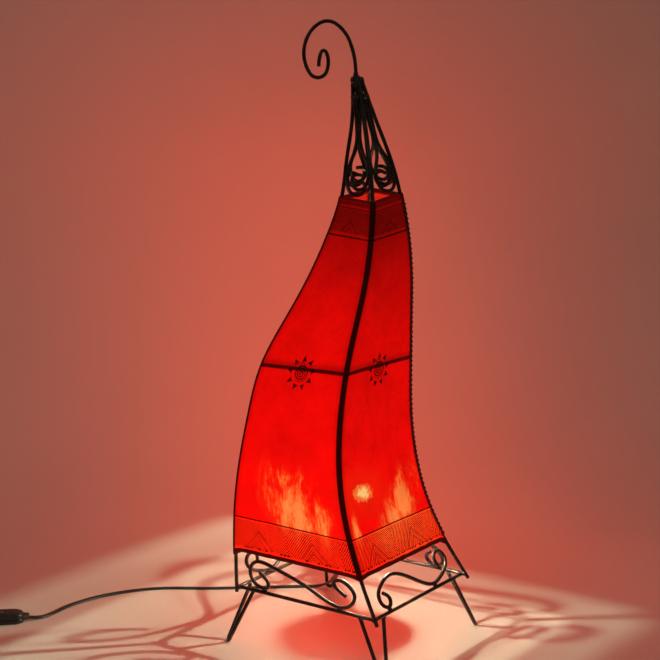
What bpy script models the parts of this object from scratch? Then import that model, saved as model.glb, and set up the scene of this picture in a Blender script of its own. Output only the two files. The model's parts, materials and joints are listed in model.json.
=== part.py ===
"""Moroccan table lantern: a flame-shaped four-sided frame of bent iron rod with
a dyed goatskin shade, scroll-work base and crown, a spiral finial, and a
mains lampholder with an inline rocker switch and a two-pin plug.

The scene is in metres, +Z up; sizes below are in millimetres.  The floor is
Z = 0.  The origin is on the floor under the middle of the whole object, its
lead included.  The lamp's own axis stands at X = LAMP_X, Y = 0, and the lead
runs from it towards -X.  Seen from -Y the front rib is nearest.
"""

import math

import bmesh
import bpy
import numpy as np
from mathutils import Matrix, Vector

MM = 0.001
LAMP_X = 208.9  # axis of the base square

ROD_R = 2.0  # iron rod of ribs, rings, legs and base scrolls
GAP = 0.3  # clearance between neighbouring pieces
TUCK = 2 * ROD_R + GAP  # from a rib's centre line to a rod lying inside it

# ---------------------------------------------------------------- frame sizes
# the four-sided flame: height, centre offset along X, half diagonal, twist in degrees
LEVELS = (
    (56, 2.5, 137.0, 0.0),
    (110, -13.5, 121.5, -0.5),
    (165, -24.5, 108.5, -1.5),
    (220, -27.5, 98.0, -3.0),
    (270, -25.0, 90.5, -3.5),
    (324, -17.5, 82.5, -3.5),
    (370, -5.0, 70.0, -4.5),
    (420, 9.0, 56.0, -5.5),
    (465, 17.5, 44.0, -7.0),
    (506, 21.0, 33.5, -8.5),
    (550, 18.0, 24.5, -9.0),
    (590, 13.0, 14.0, -8.5),
    (640, 4.0, 4.5, -8.0),
)
CORNERS = ("front", "right", "back", "left")
CORNER_ANGLE = (-90.0, 0.0, 90.0, 180.0)  # degrees, before the twist
FACES = ("front_right", "back_right", "back_left", "front_left")

RIB_LOW_Z, RIB_TOP_Z = LEVELS[0][0], LEVELS[-1][0]

# heights of each ring's four corners, in the order of CORNERS
BASE_RING_Z = (62.0,) * 4
SHADE_BOTTOM_Z = (109.5,) * 4
MIDDLE_RING_Z = (325.0, 326.0, 321.5, 320.5)
SHADE_TOP_Z = (503.0, 510.0, 513.0, 506.0)
RING_CORNER_R = 4.0

# where each hairpin leg touches the floor: x and y from the lamp axis
FEET = ((8.0, -149.0), (147.0, -7.0), (0.0, 149.0), (-146.0, -9.0))
LEG_SPREAD = 18.0  # from the ring corner to each end of the hairpin, along the rail
LEG_TOP_Z = 57.8
LEG_BEND_R = 4.0
LEG_BEND_STEPS = 6
FOOT_CENTRE_Z = 1.6  # below the rod's radius, so the floor flattens the foot

# base scrolls: along the face from its middle, and height
SCROLL_LONG = (
    (-59.3, 84.1), (-49.6, 74.0), (-52.5, 67.6), (-60.0, 66.6), (-69.5, 70.5),
    (-73.3, 82.0), (-66.5, 93.2), (-56.4, 97.0), (-44.4, 95.6), (-11.7, 87.0),
    (10.1, 79.2), (35.3, 68.6), (49.4, 66.6), (63.5, 71.5), (71.8, 84.4),
    (66.7, 93.0), (53.6, 97.5), (46.0, 92.4), (49.8, 86.8), (59.7, 80.6),
)
SCROLL_WAVE = (
    (-58.5, 81.8), (-51.6, 74.5), (-55.0, 68.0), (-62.5, 67.0), (-68.6, 72.5),
    (-67.2, 81.4), (-56.5, 89.5), (-37.5, 95.3), (-20.8, 93.4), (-1.8, 83.8),
    (20.0, 70.6), (34.0, 66.6), (50.0, 69.2), (65.0, 74.8), (74.8, 85.0),
    (72.2, 93.6), (63.5, 96.4), (55.2, 91.0), (56.4, 80.8),
)
BASE_SCROLLS = (SCROLL_WAVE, SCROLL_LONG, SCROLL_WAVE, SCROLL_LONG)  # by face

# crown scrolls, both drawn as left-hand wires: along the face, height, outward
CROWN_STEM = ((-2.15, 620, 3.6), (-2.15, 606, 1.2), (-2.15, 590, 0.0))
CROWN_OUTER = CROWN_STEM + (
    (-2.2, 570, 0.4), (-6.5, 553, 2.2), (-12.6, 539, 2.4), (-14.2, 527, 2.4),
    (-9.5, 516.5, 2.4), (0.5, 513.0, 2.4), (10.0, 516.0, 2.4), (13.0, 523.5, 2.4),
    (8.0, 528.0, 2.4), (-3.0, 525.5, 2.4),
)
CROWN_INNER = CROWN_STEM + (
    (-2.2, 571, -0.4), (-6.5, 556, -2.0), (-12.4, 543, -2.2), (-13.2, 532, -2.2),
    (-8.5, 522.0, -2.2), (0.5, 518.5, -2.2), (8.5, 521.5, -2.2), (11.0, 529.0, -2.2),
    (6.5, 534.0, -2.2), (-2.5, 534.5, -2.2),
)
CROWN_R = 1.9
CROWN_LIFT = (3.5, 8.0, 6.0, -1.0)  # of each face's loops, as the top ring is tilted
CROWN_FADE_TOP_Z, CROWN_FADE = 566.0, 36.0  # the lift grows downwards over this depth

# finial, in the XZ plane: points are x from the lamp axis, and height
FINIAL_R = 1.9
FINIAL_START = (3.0, 641.0)
FINIAL_HEADING = 88.0  # degrees from +X
FINIAL_FOOT_Z, FINIAL_NECK_Z = 604.0, 622.0
# radius and angle in degrees of each bend
FINIAL_BENDS = (
    (92.5, 24), (42, 34), (17, 63), (32, 27), (39.5, 68), (10.5, 125),
    (28, 42), (5.5, 38), (2.5, 99), (39, 24),
)

# ---------------------------------------------------------------- shade sizes
SKIN_IN = 2.6  # from a rib's centre line to the skin's inner side
SKIN_T = 0.7
SKIN_SAG = 1.2
SKIN_LOW_Z = 107.0
SKIN_ABOVE_RING = 1.5
SKIN_ROWS = 23
SKIN_ARC_STEPS = 3
LACE_R = 0.8
LACE_OUT = SKIN_IN + SKIN_T + GAP + LACE_R + 0.15  # from the rib's centre line
LACE_LOW_Z, LACE_TOP_Z = 113.0, 505.0

# ---------------------------------------------------------------- holder and bulb sizes
HOLDER_X = LAMP_X + 13.0
HOLDER_AXIS = (HOLDER_X, 0.0)
BODY_Z0, BODY_Z1 = 92.0, 134.0
BODY_R, BODY_BORE_R, BODY_FLOOR_T = 13.4, 8.5, 6.0
BODY_HOLE_R = 3.0
BRIDGE_Z0, BRIDGE_T, BRIDGE_W = 111.9, 1.5, 12.0
BRIDGE_END = 1.0  # its ends run this far past the ring's centre line
EYE_R, EYE_HOLE_R = 21.0, BODY_R + 0.6
EYE_ARC, EYE_ARC_STEPS = 140, 14  # degrees on each side of the bar
NUT_R_IN, NUT_R_OUT, NUT_T, NUT_CHAMFER = BODY_R + 0.4, 20.0, 5.0, 0.6
CAP_Z0, CAP_Z1 = 82.0, BODY_Z0 - GAP
CAP_R, CAP_HOLE_R = BODY_R - 0.6, 3.2
SHELL_R_IN, SHELL_R_OUT = 7.35, 8.1
SHELL_Z0, SHELL_Z1 = 102.0, 123.5
# radius, height
CONTACT_PROFILE = ((0.0, 98.4), (4.4, 98.4), (4.4, 99.2), (2.2, 101.0), (0.0, 101.0))

BULB_CAP_Z0, BULB_CAP_Z1, BULB_CAP_R = 103.0, 129.0, 6.9
BULB_ORIGIN = (*HOLDER_AXIS, BULB_CAP_Z0)  # at the seat of the bulb's cap
GLASS_Z0 = BULB_CAP_Z1 + GAP
GLASS_T = 0.9
FILAMENT_Z = 166.0
# outside of the glass: radius, height above GLASS_Z0
GLASS_PROFILE = (
    (7.4, 0.0), (7.9, 3.0), (10.8, 9.0), (14.8, 17.0), (17.0, 25.0), (17.4, 32.0),
    (16.0, 41.0), (12.6, 51.0), (8.2, 60.0), (4.2, 66.5), (1.8, 70.2), (0.0, 71.4),
)

# ---------------------------------------------------------------- lead sizes
# lead and plug places are x and y from the lamp axis, and height
FLEX_R = 2.4
FLEX_LAMP = (
    (13, 0, 88), (13, 0, 81), (9.5, 5.5, 76), (2, 24, 68), (-4, 60, 50),
    (-4, 97, 32), (-4, 127, 15), (-13, 146, 5), (-28, 152, 2.9), (-75, 158, 2.7),
    (-123, 163, 2.7), (-164, 169, 2.7), (-204, 176.5, 2.7), (-240, 175, 2.7),
    (-283, 162, 2.7), (-309, 147, 2.7), (-331, 128, 2.7), (-354, 103, 2.9),
    (-368, 96.3, 4.5), (-378.2, 95, 6.0),
)
COIL_X, COIL_Y, COIL_R = -513.0, 30.0, 52.0
COIL_Z0, COIL_TURNS, COIL_PITCH = 2.6, 2.5, 5.3
COIL_START = 70.0  # degrees
COIL_STEPS_PER_TURN = 16
COIL_WOBBLE, COIL_WOBBLE_RATE = 2.0, 3.1  # swing of the radius, waves per turn

SWITCH_X, SWITCH_Y = -409.0, 95.0  # the switch's middle
SWITCH_L, SWITCH_W = 60.0, 22.0
SWITCH_CORNER_R = 9.0
SWITCH_SPLIT_Z, SWITCH_TOP_Z = 6.0, 13.5
SPLIT_HALF = 0.15  # half the gap between base and cover
# height and inset of each outline
SWITCH_BASE_LAYERS = ((0.1, 1.6), (1.6, 0.0), (SWITCH_SPLIT_Z - SPLIT_HALF, 0.0))
SWITCH_COVER_LAYERS = (
    (SWITCH_SPLIT_Z + SPLIT_HALF, 0.0), (SWITCH_TOP_Z - 2.4, 0.0),
    (SWITCH_TOP_Z - 0.6, 1.0), (SWITCH_TOP_Z, 2.6),
)
WINDOW_SIZE, POCKET_SIZE = (18.0, 10.0), (22.0, 12.0)
OPENING_Z0, OPENING_Z1 = 3.0, 20.0
ROCKER_Z = 11.5  # pivot height
ROCKER_TILT = 9.0  # degrees
ROCKER_HALF_W = 4.6
# side view of the level rocker about its pivot: x, z
ROCKER_SIDE = (
    (-8.0, 2.6), (-8.0, -1.4), (-2.6, -3.4), (2.6, -3.4), (8.0, -1.4), (8.0, 2.6),
    (4.0, 2.9), (0.0, 2.2), (-4.0, 2.9),
)
SCREW_OFFSET = 22.0
SCREW_R, SCREW_Z0, SCREW_Z1 = 2.2, 0.5, 2.2
SCREW_HOLE_R, SCREW_HOLE_Z0, SCREW_HOLE_Z1 = 2.6, -2.0, 2.6

PLUG_X, PLUG_Y0, PLUG_Y1, PLUG_Z = -520.0, -125.0, -160.4, 6.6
# tapered flat body, narrow at the lead: y, half width, half height
PLUG_SECTIONS = (
    (PLUG_Y0, 4.0, 3.6), (PLUG_Y0 - 6.0, 5.0, 4.2), (PLUG_Y0 - 14.0, 9.5, 5.4),
    (PLUG_Y0 - 22.0, 12.0, 6.3), (PLUG_Y1 + 2.0, 12.4, 6.4), (PLUG_Y1, 11.4, 5.4),
)
PIN_R, PIN_OFFSET, PIN_TIP_Y = 2.0, 8.835, -179.4


# ---------------------------------------------------------------- materials
def material(name, colour, roughness, metallic=0.0, transmission=0.0, emission=0.0):
    mat = bpy.data.materials.new(name)
    mat.use_nodes = True
    shader = mat.node_tree.nodes["Principled BSDF"]
    shader.inputs["Base Color"].default_value = (*colour, 1.0)
    shader.inputs["Roughness"].default_value = roughness
    shader.inputs["Metallic"].default_value = metallic
    shader.inputs["Transmission Weight"].default_value = transmission
    if emission:
        shader.inputs["Emission Color"].default_value = (*colour, 1.0)
        shader.inputs["Emission Strength"].default_value = emission
    mat.diffuse_color = (*colour, 1.0)
    return mat


def make_materials():
    return {
        "iron": material(
            "wrought_iron", colour=(0.042, 0.031, 0.026), roughness=0.42, metallic=0.85
        ),
        "skin": material("dyed_goatskin", colour=(0.62, 0.012, 0.006), roughness=0.48),
        "lace": material("skin_lace", colour=(0.10, 0.008, 0.006), roughness=0.6),
        "plastic": material("black_plastic", colour=(0.018, 0.017, 0.017), roughness=0.38),
        "rocker": material("rocker_plastic", colour=(0.03, 0.028, 0.028), roughness=0.3),
        "brass": material("brass", colour=(0.62, 0.45, 0.2), roughness=0.3, metallic=1.0),
        "steel": material(
            "plated_steel", colour=(0.62, 0.61, 0.59), roughness=0.25, metallic=1.0
        ),
        "glass": material(
            "bulb_glass", colour=(0.95, 0.95, 0.93), roughness=0.03, transmission=0.95
        ),
        "glow": material("filament", colour=(1.0, 0.72, 0.36), roughness=0.3, emission=6.0),
        "cable": material("cable_sheath", colour=(0.02, 0.019, 0.018), roughness=0.45),
    }


# ---------------------------------------------------------------- curves
def natural_spline(knots, values):
    """The smooth curve through the knots with no bending at its ends."""
    knots = np.asarray(knots, float)
    values = np.asarray(values, float)
    count = len(knots)
    gaps = np.diff(knots)
    slopes = np.diff(values) / gaps
    system = np.zeros((count, count))
    target = np.zeros(count)
    system[0, 0] = system[-1, -1] = 1.0
    for i in range(1, count - 1):
        system[i, i - 1] = gaps[i - 1]
        system[i, i] = 2.0 * (gaps[i - 1] + gaps[i])
        system[i, i + 1] = gaps[i]
        target[i] = 6.0 * (slopes[i] - slopes[i - 1])
    bend = np.linalg.solve(system, target)  # second derivative at each knot

    def value(place):
        i = int(np.clip(np.searchsorted(knots, place) - 1, 0, count - 2))
        ahead, behind, gap = knots[i + 1] - place, place - knots[i], gaps[i]
        return float(
            bend[i] * ahead**3 / (6 * gap)
            + bend[i + 1] * behind**3 / (6 * gap)
            + (values[i] / gap - bend[i] * gap / 6) * ahead
            + (values[i + 1] / gap - bend[i + 1] * gap / 6) * behind
        )

    return value


def thin_path(fine, step, most_turn=23.0):
    """Thins a dense path: a point every step, or sooner where it bends."""
    kept = [fine[0]]
    run, turn = 0.0, 0.0
    last = None
    for start, end in zip(fine, fine[1:]):
        move = end - start
        moved = move.length > 1e-9
        if last is not None and moved:
            turn += math.degrees(last.angle(move))
        run += move.length
        if moved:
            last = move
        if run >= step or turn >= most_turn:
            kept.append(end)
            run, turn = 0.0, 0.0
    if (kept[-1] - fine[-1]).length < 0.35 * step and len(kept) > 2:
        kept[-1] = fine[-1]
    else:
        kept.append(fine[-1])
    return kept


def smooth_path(points, step):
    """Points about step apart on the smooth curve through the control points."""
    points = [Vector(p) for p in points]
    knots = [0.0]
    for start, end in zip(points, points[1:]):
        # a power below one keeps the curve tight between unequal spans
        knots.append(knots[-1] + (end - start).length ** 0.75)
    axes = [natural_spline(knots, [p[i] for p in points]) for i in range(len(points[0]))]
    fine = [Vector([axis(knots[-1] * i / 600) for axis in axes]) for i in range(601)]
    return thin_path(fine, step)


def bend_path(start, heading, bends):
    """A wire bent in a plane: arcs of (radius, degrees), turning left."""
    x, z = start
    heading = math.radians(heading)
    path = [Vector((x, z))]
    for radius, degrees in bends:
        count = max(2, math.ceil(degrees / 2.0))
        turn = math.radians(degrees) / count
        for _ in range(count):
            chord = 2 * radius * math.sin(turn / 2)
            x += chord * math.cos(heading + turn / 2)
            z += chord * math.sin(heading + turn / 2)
            heading += turn
            path.append(Vector((x, z)))
    return path


def circle(centre_x, centre_y, radius, steps):
    return [
        (
            centre_x + radius * math.cos(2 * math.pi * i / steps),
            centre_y + radius * math.sin(2 * math.pi * i / steps),
        )
        for i in range(steps)
    ]


def rounded_box(centre_x, centre_y, width, depth, radius, steps):
    """Outline of a rectangle with rounded corners."""
    outline = []
    for sign_x, sign_y, start in ((1, 1, 0), (-1, 1, 90), (-1, -1, 180), (1, -1, 270)):
        for i in range(steps + 1):
            angle = math.radians(start + 90 * i / steps)
            outline.append(
                (
                    centre_x + sign_x * (width / 2 - radius) + radius * math.cos(angle),
                    centre_y + sign_y * (depth / 2 - radius) + radius * math.sin(angle),
                )
            )
    return outline


def at_height(outline, z):
    return [(x, y, z) for x, y in outline]


# ---------------------------------------------------------------- meshes
def link_mesh(name, bm):
    """Turns the bmesh into an object of the scene, its normals facing out."""
    bmesh.ops.recalc_face_normals(bm, faces=bm.faces)
    mesh = bpy.data.meshes.new(name)
    bm.to_mesh(mesh)
    bm.free()
    obj = bpy.data.objects.new(name, mesh)
    bpy.context.scene.collection.objects.link(obj)
    return obj


def finish_piece(name, bm, mat, smooth_sides=True, origin=None):
    """Makes a finished piece, its origin moved to a point in mm if one is given."""
    bmesh.ops.remove_doubles(bm, verts=bm.verts, dist=1e-6)
    obj = link_mesh(name, bm)
    mesh = obj.data
    mesh.materials.append(mat)
    for face in mesh.polygons:
        face.use_smooth = smooth_sides and len(face.vertices) <= 4
    if origin is not None:
        offset = Vector(origin) * MM
        mesh.transform(Matrix.Translation(-offset))
        obj.location = offset
    return obj


def new_ring(bm, points):
    return [bm.verts.new((x * MM, y * MM, z * MM)) for x, y, z in points]


def join_rings(bm, low, high):
    """Faces between two vertex rings, either of which may be a single point."""
    count = max(len(low), len(high))
    if count == 1:
        return
    for i in range(count):
        j = (i + 1) % count
        if len(low) == 1:
            bm.faces.new((low[0], high[j], high[i]))
        elif len(high) == 1:
            bm.faces.new((low[i], low[j], high[0]))
        else:
            bm.faces.new((low[i], low[j], high[j], high[i]))


def layered_solid(layers):
    """A bmesh solid through matching outlines (mm), closed at both ends."""
    bm = bmesh.new()
    rings = [new_ring(bm, layer) for layer in layers]
    bm.faces.new(list(reversed(rings[0])))
    bm.faces.new(rings[-1])
    for low, high in zip(rings, rings[1:]):
        join_rings(bm, low, high)
    return bm


def turned(name, profile, mat, centre, steps, origin=None):
    """A solid of revolution about an upright axis: profile is (radius, z) pairs
    running round a closed section; points on the axis share one vertex."""
    bm = bmesh.new()
    rings = [
        new_ring(bm, at_height(circle(*centre, radius, steps if radius else 1), z))
        for radius, z in profile
    ]
    for low, high in zip(rings, rings[1:] + rings[:1]):
        join_rings(bm, low, high)
    return finish_piece(name, bm, mat, origin=origin)


def rod(name, points, radius, mat, detail=2, cyclic=False, floor_cut=False):
    """A round rod along the points (mm), made from a bevelled curve with filled caps."""
    curve = bpy.data.curves.new(name + "_path", "CURVE")
    curve.dimensions = "3D"
    line = curve.splines.new("POLY")
    line.points.add(len(points) - 1)
    for knot, (x, y, z) in zip(line.points, points):
        knot.co = (x * MM, y * MM, z * MM, 1.0)
    line.use_cyclic_u = cyclic
    curve.bevel_depth = radius * MM
    curve.bevel_resolution = detail
    curve.use_fill_caps = not cyclic
    guide = bpy.data.objects.new(name + "_path", curve)
    bpy.context.scene.collection.objects.link(guide)
    bpy.context.view_layer.update()
    graph = bpy.context.evaluated_depsgraph_get()
    mesh = bpy.data.meshes.new_from_object(guide.evaluated_get(graph))
    bm = bmesh.new()
    bm.from_mesh(mesh)
    bpy.data.objects.remove(guide)
    bpy.data.curves.remove(curve)
    bpy.data.meshes.remove(mesh)
    # weld the caps to the tube before any cut
    bmesh.ops.remove_doubles(bm, verts=bm.verts, dist=1e-6)
    if floor_cut:
        geom = list(bm.verts) + list(bm.edges) + list(bm.faces)
        bmesh.ops.bisect_plane(
            bm, geom=geom, plane_co=(0, 0, 0), plane_no=(0, 0, -1), clear_outer=True
        )
        edges = [e for e in bm.edges if e.is_boundary]
        bmesh.ops.holes_fill(bm, edges=edges, sides=0)
    return finish_piece(name, bm, mat)


def cut(obj, tool_name, outline, z0, z1):
    """Cuts an upright prism out of the object with a live boolean."""
    tool = link_mesh(tool_name, layered_solid([at_height(outline, z) for z in (z0, z1)]))
    tool.hide_render = True
    tool.display_type = "WIRE"
    boolean = obj.modifiers.new("cut_" + tool_name, "BOOLEAN")
    boolean.operation = "DIFFERENCE"
    boolean.solver = "EXACT"
    boolean.object = tool


# ---------------------------------------------------------------- the flame shape
LEVEL_Z, LEVEL_CENTRE, LEVEL_HALF, LEVEL_TWIST = zip(*LEVELS)
centre_at = natural_spline(LEVEL_Z, LEVEL_CENTRE)
half_diagonal_at = natural_spline(LEVEL_Z, LEVEL_HALF)
twist_at = natural_spline(LEVEL_Z, LEVEL_TWIST)


def corner(k, z, out=0.0):
    """A point of rib k at height z, moved outward along its diagonal."""
    angle = math.radians(CORNER_ANGLE[k % 4] + twist_at(z))
    reach = half_diagonal_at(z) + out
    return Vector(
        (LAMP_X + centre_at(z) + reach * math.cos(angle), reach * math.sin(angle), z)
    )


def on_face(k, along, z, out):
    """A point of the side from corner k to the next, measured from its middle."""
    start, end = corner(k, z), corner(k + 1, z)
    direction = (end - start).normalized()
    outward = Vector((direction.y, -direction.x, 0.0))
    return (start + end) / 2 + direction * along + outward * out


# ---------------------------------------------------------------- the frame
def build_ribs(iron):
    heights = np.linspace(RIB_LOW_Z, RIB_TOP_Z, 300)
    for k, side in enumerate(CORNERS):
        fine = [corner(k, float(z)) for z in heights]
        rod("rib_" + side, thin_path(fine, step=26.0, most_turn=5.0), ROD_R, iron)


def ring_points(heights):
    """A four-sided rod ring nested inside the ribs, its corners rounded."""
    tips = []
    for k, z in enumerate(heights):
        here, above = corner(k, z), corner(k, z + 2.0)
        run = math.hypot(above.x - here.x, above.y - here.y)
        lean = math.cos(math.atan2(run, 2.0))
        inset = TUCK / lean - (math.sqrt(2) - 1) * RING_CORNER_R
        tips.append(corner(k, z, -inset))
    points = []
    for k, tip in enumerate(tips):
        start = tip + (tips[k - 1] - tip).normalized() * RING_CORNER_R
        end = tip + (tips[(k + 1) % 4] - tip).normalized() * RING_CORNER_R
        inward = (start + end) / 2 - tip
        centre = tip + inward * (RING_CORNER_R * math.sqrt(2)) / inward.length
        points.append(start)
        for i in range(1, 3):
            spoke = start.lerp(end, i / 3) - centre
            points.append(centre + spoke.normalized() * (start - centre).length)
        points.append(end)
    return points


def build_rings(iron):
    for name, heights in (
        ("base_ring", BASE_RING_Z),
        ("shade_ring_bottom", SHADE_BOTTOM_Z),
        ("shade_ring_middle", MIDDLE_RING_Z),
        ("shade_ring_top", SHADE_TOP_Z),
    ):
        rod(name, ring_points(heights), ROD_R, iron, cyclic=True)


def foot_bend(foot, ends):
    """The round bend at the foot of a hairpin, from the first end's side."""
    first, second = ((end - foot).normalized() for end in ends)
    axis = (first + second).normalized()
    sideways = (first - second).normalized()
    turn = math.pi - 2 * first.angle(axis)
    centre = foot + axis * LEG_BEND_R
    bend = []
    for i in range(LEG_BEND_STEPS + 1):
        angle = -turn / 2 + turn * i / LEG_BEND_STEPS
        bend.append(
            centre
            - axis * (LEG_BEND_R * math.cos(angle))
            - sideways * (LEG_BEND_R * math.sin(angle))
        )
    return bend


def build_legs(iron):
    tips = [corner(k, BASE_RING_Z[k], -TUCK) for k in range(4)]
    for k, side in enumerate(CORNERS):
        tip = tips[k]
        ends = []
        for other in (tips[k - 1], tips[(k + 1) % 4]):
            end = tip + (other - tip).normalized() * LEG_SPREAD
            ends.append(Vector((end.x, end.y, LEG_TOP_Z)))
        foot = Vector((LAMP_X + FEET[k][0], FEET[k][1], FOOT_CENTRE_Z))
        bend = foot_bend(foot, ends)
        points = [
            ends[0], ends[0].lerp(bend[0], 0.5), *bend, ends[1].lerp(bend[-1], 0.5), ends[1]
        ]
        rod("leg_" + side, points, ROD_R, iron, floor_cut=True)


def build_base_scrolls(iron):
    out = -TUCK / math.sqrt(2)
    for k, side in enumerate(FACES):
        path = smooth_path(BASE_SCROLLS[k], step=9.0)
        points = [on_face(k, along, z, out) for along, z in path]
        rod("base_scroll_" + side, points, ROD_R, iron)


def crown_share(z):
    """1 at the loops, fading to 0 where the pair runs together."""
    return min(1.0, max(0.0, (CROWN_FADE_TOP_Z - z) / CROWN_FADE))


def build_crown(iron):
    """A pair of wires on each face; the inner one is mirrored."""
    for k, side in enumerate(FACES):
        for shape, hand, sign in ((CROWN_OUTER, "a", 1.0), (CROWN_INNER, "b", -1.0)):
            points = [
                on_face(k, sign * along, z + CROWN_LIFT[k] * crown_share(z), out)
                for along, z, out in smooth_path(shape, step=12.0)
            ]
            rod(f"crown_scroll_{side}_{hand}", points, CROWN_R, iron, detail=1)


def build_finial(iron):
    foot = (centre_at(FINIAL_FOOT_Z), FINIAL_FOOT_Z)
    neck = (centre_at(FINIAL_NECK_Z), FINIAL_NECK_Z)
    stem = smooth_path([Vector(foot), neck, FINIAL_START], step=14.0)
    bends = bend_path(FINIAL_START, FINIAL_HEADING, FINIAL_BENDS)
    path = stem[:-1] + thin_path(bends, step=10.0, most_turn=18.0)
    rod("finial_scroll", [Vector((LAMP_X + x, 0.0, z)) for x, z in path], FINIAL_R, iron)


# ---------------------------------------------------------------- the shade
def skin_section(share, radius, sag):
    """Outline round the ribs at a share of the skin's height."""
    ribs = [
        corner(k, SKIN_LOW_Z + share * (SHADE_TOP_Z[k] + SKIN_ABOVE_RING - SKIN_LOW_Z))
        for k in range(4)
    ]
    arcs = []
    for k in range(4):
        into = ribs[k] - ribs[k - 1]
        away = ribs[(k + 1) % 4] - ribs[k]
        start = math.atan2(-into.x, into.y)
        end = math.atan2(-away.x, away.y)
        if end < start:
            end += 2 * math.pi
        arc = []
        for i in range(SKIN_ARC_STEPS + 1):
            angle = start + (end - start) * i / SKIN_ARC_STEPS
            arc.append(ribs[k] + Vector((math.cos(angle), math.sin(angle), 0)) * radius)
        arcs.append(arc)
    outline = []
    for k in range(4):
        outline += arcs[k]
        start, end = arcs[k][-1], arcs[(k + 1) % 4][0]
        along = end - start
        inward = Vector((-along.y, along.x, 0)).normalized()
        outline.append(start.lerp(end, 0.5) + inward * sag)
    return outline


def build_skin(skin):
    bm = bmesh.new()
    walls = []
    for radius in (SKIN_IN, SKIN_IN + SKIN_T):
        wall = []
        for i in range(SKIN_ROWS):
            share = i / (SKIN_ROWS - 1)
            # abs() keeps the sine's rounding at the top from going below zero
            sag = SKIN_SAG * abs(math.sin(math.pi * share)) ** 0.5
            wall.append(new_ring(bm, skin_section(share, radius, sag)))
        for low, high in zip(wall, wall[1:]):
            join_rings(bm, low, high)
        walls.append(wall)
    inner, outer = walls
    for row in (0, -1):
        join_rings(bm, inner[row], outer[row])
    finish_piece("shade_skin", bm, skin)


def build_lacing(lace):
    """The laced seam runs up the outside of the right rib."""
    fine = [corner(1, float(z), LACE_OUT) for z in np.linspace(LACE_LOW_Z, LACE_TOP_Z, 200)]
    rod("seam_lacing", thin_path(fine, step=26.0, most_turn=6.0), LACE_R, lace, detail=1)


# ---------------------------------------------------------------- lampholder
def eye_arc(start):
    """Half of the bridge's round eye, from an angle in degrees."""
    angles = [math.radians(start + EYE_ARC * i / EYE_ARC_STEPS) for i in range(EYE_ARC_STEPS + 1)]
    return [(HOLDER_X + EYE_R * math.cos(a), EYE_R * math.sin(a)) for a in angles]


def build_bridge(iron):
    """Flat iron bridge with a round eye, its ends cut to follow the ring."""
    ring = ring_points(SHADE_BOTTOM_Z)
    front = min(ring, key=lambda p: p.y)
    right = max(ring, key=lambda p: p.x)
    slope = (right.x - front.x) / (right.y - front.y)
    left_x, right_x = HOLDER_X - BRIDGE_W / 2, HOLDER_X + BRIDGE_W / 2
    left_reach, right_reach = (
        abs(front.y + (x - front.x) / slope) + BRIDGE_END for x in (left_x, right_x)
    )
    outline = [(left_x, -left_reach), (right_x, -right_reach)]
    outline += eye_arc(-EYE_ARC / 2)
    outline += [(right_x, right_reach), (left_x, left_reach)]
    outline += eye_arc(180 - EYE_ARC / 2)
    layers = [at_height(outline, z) for z in (BRIDGE_Z0, BRIDGE_Z0 + BRIDGE_T)]
    bridge = finish_piece("holder_bridge", layered_solid(layers), iron, smooth_sides=False)
    cut(bridge, "cut_eye", circle(*HOLDER_AXIS, EYE_HOLE_R, 32), 100, 130)


def build_body(plastic):
    """Round body bored for the shell, its floor with a central hole."""
    floor = BODY_Z0 + BODY_FLOOR_T
    profile = (
        (BODY_HOLE_R, BODY_Z0), (BODY_R - 1.0, BODY_Z0), (BODY_R, BODY_Z0 + 1.0),
        (BODY_R, BODY_Z1 - 1.5), (BODY_R - 1.0, BODY_Z1), (BODY_BORE_R + 0.6, BODY_Z1),
        (BODY_BORE_R, BODY_Z1 - 0.6), (BODY_BORE_R, floor), (BODY_HOLE_R, floor),
    )
    turned("holder_body", profile, plastic, HOLDER_AXIS, steps=20)


def build_nuts(plastic):
    """Two ring nuts, one under and one over the bridge."""
    shoulder = NUT_R_OUT - NUT_CHAMFER
    for name, low in (
        ("holder_nut_lower", BRIDGE_Z0 - GAP - NUT_T),
        ("holder_nut_upper", BRIDGE_Z0 + BRIDGE_T + GAP),
    ):
        top = low + NUT_T
        profile = (
            (NUT_R_IN, low), (shoulder, low), (NUT_R_OUT, low + NUT_CHAMFER),
            (NUT_R_OUT, top - NUT_CHAMFER), (shoulder, top), (NUT_R_IN, top),
        )
        turned(name, profile, plastic, HOLDER_AXIS, steps=20)


def build_holder_cap(plastic):
    """Hollow cap closing the holder from below."""
    profile = (
        (CAP_HOLE_R, CAP_Z0), (7.0, CAP_Z0), (BODY_R - 1.5, CAP_Z0 + 4.5),
        (CAP_R, CAP_Z1 - 1.5), (CAP_R, CAP_Z1), (BODY_R - 2.4, CAP_Z1),
        (BODY_R - 3.2, CAP_Z0 + 5.0), (CAP_HOLE_R, CAP_Z0 + 2.5),
    )
    turned("holder_cap", profile, plastic, HOLDER_AXIS, steps=18)


def build_shell(brass):
    profile = (
        (SHELL_R_IN, SHELL_Z0), (SHELL_R_OUT, SHELL_Z0),
        (SHELL_R_OUT, SHELL_Z1), (SHELL_R_IN, SHELL_Z1),
    )
    turned("holder_thread_shell", profile, brass, HOLDER_AXIS, steps=20)


def build_contact(brass):
    turned("holder_contact", CONTACT_PROFILE, brass, HOLDER_AXIS, steps=14)


# ---------------------------------------------------------------- bulb
def build_bulb_cap(brass):
    """Brass cap, open at the top, with a collar round its mouth."""
    seat, rim, radius = BULB_CAP_Z0, BULB_CAP_Z1, BULB_CAP_R
    profile = (
        (0.0, seat - 1.4), (2.4, seat - 1.4), (3.0, seat), (radius - 1.2, seat + 2.0),
        (radius, seat + 3.6), (radius, rim - 5.0), (radius + 1.0, rim - 3.0),
        (radius + 1.0, rim), (radius - 0.4, rim), (radius - 0.4, seat + 6.0),
        (0.0, seat + 6.0),
    )
    turned("bulb_cap", profile, brass, HOLDER_AXIS, steps=16, origin=BULB_ORIGIN)


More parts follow.
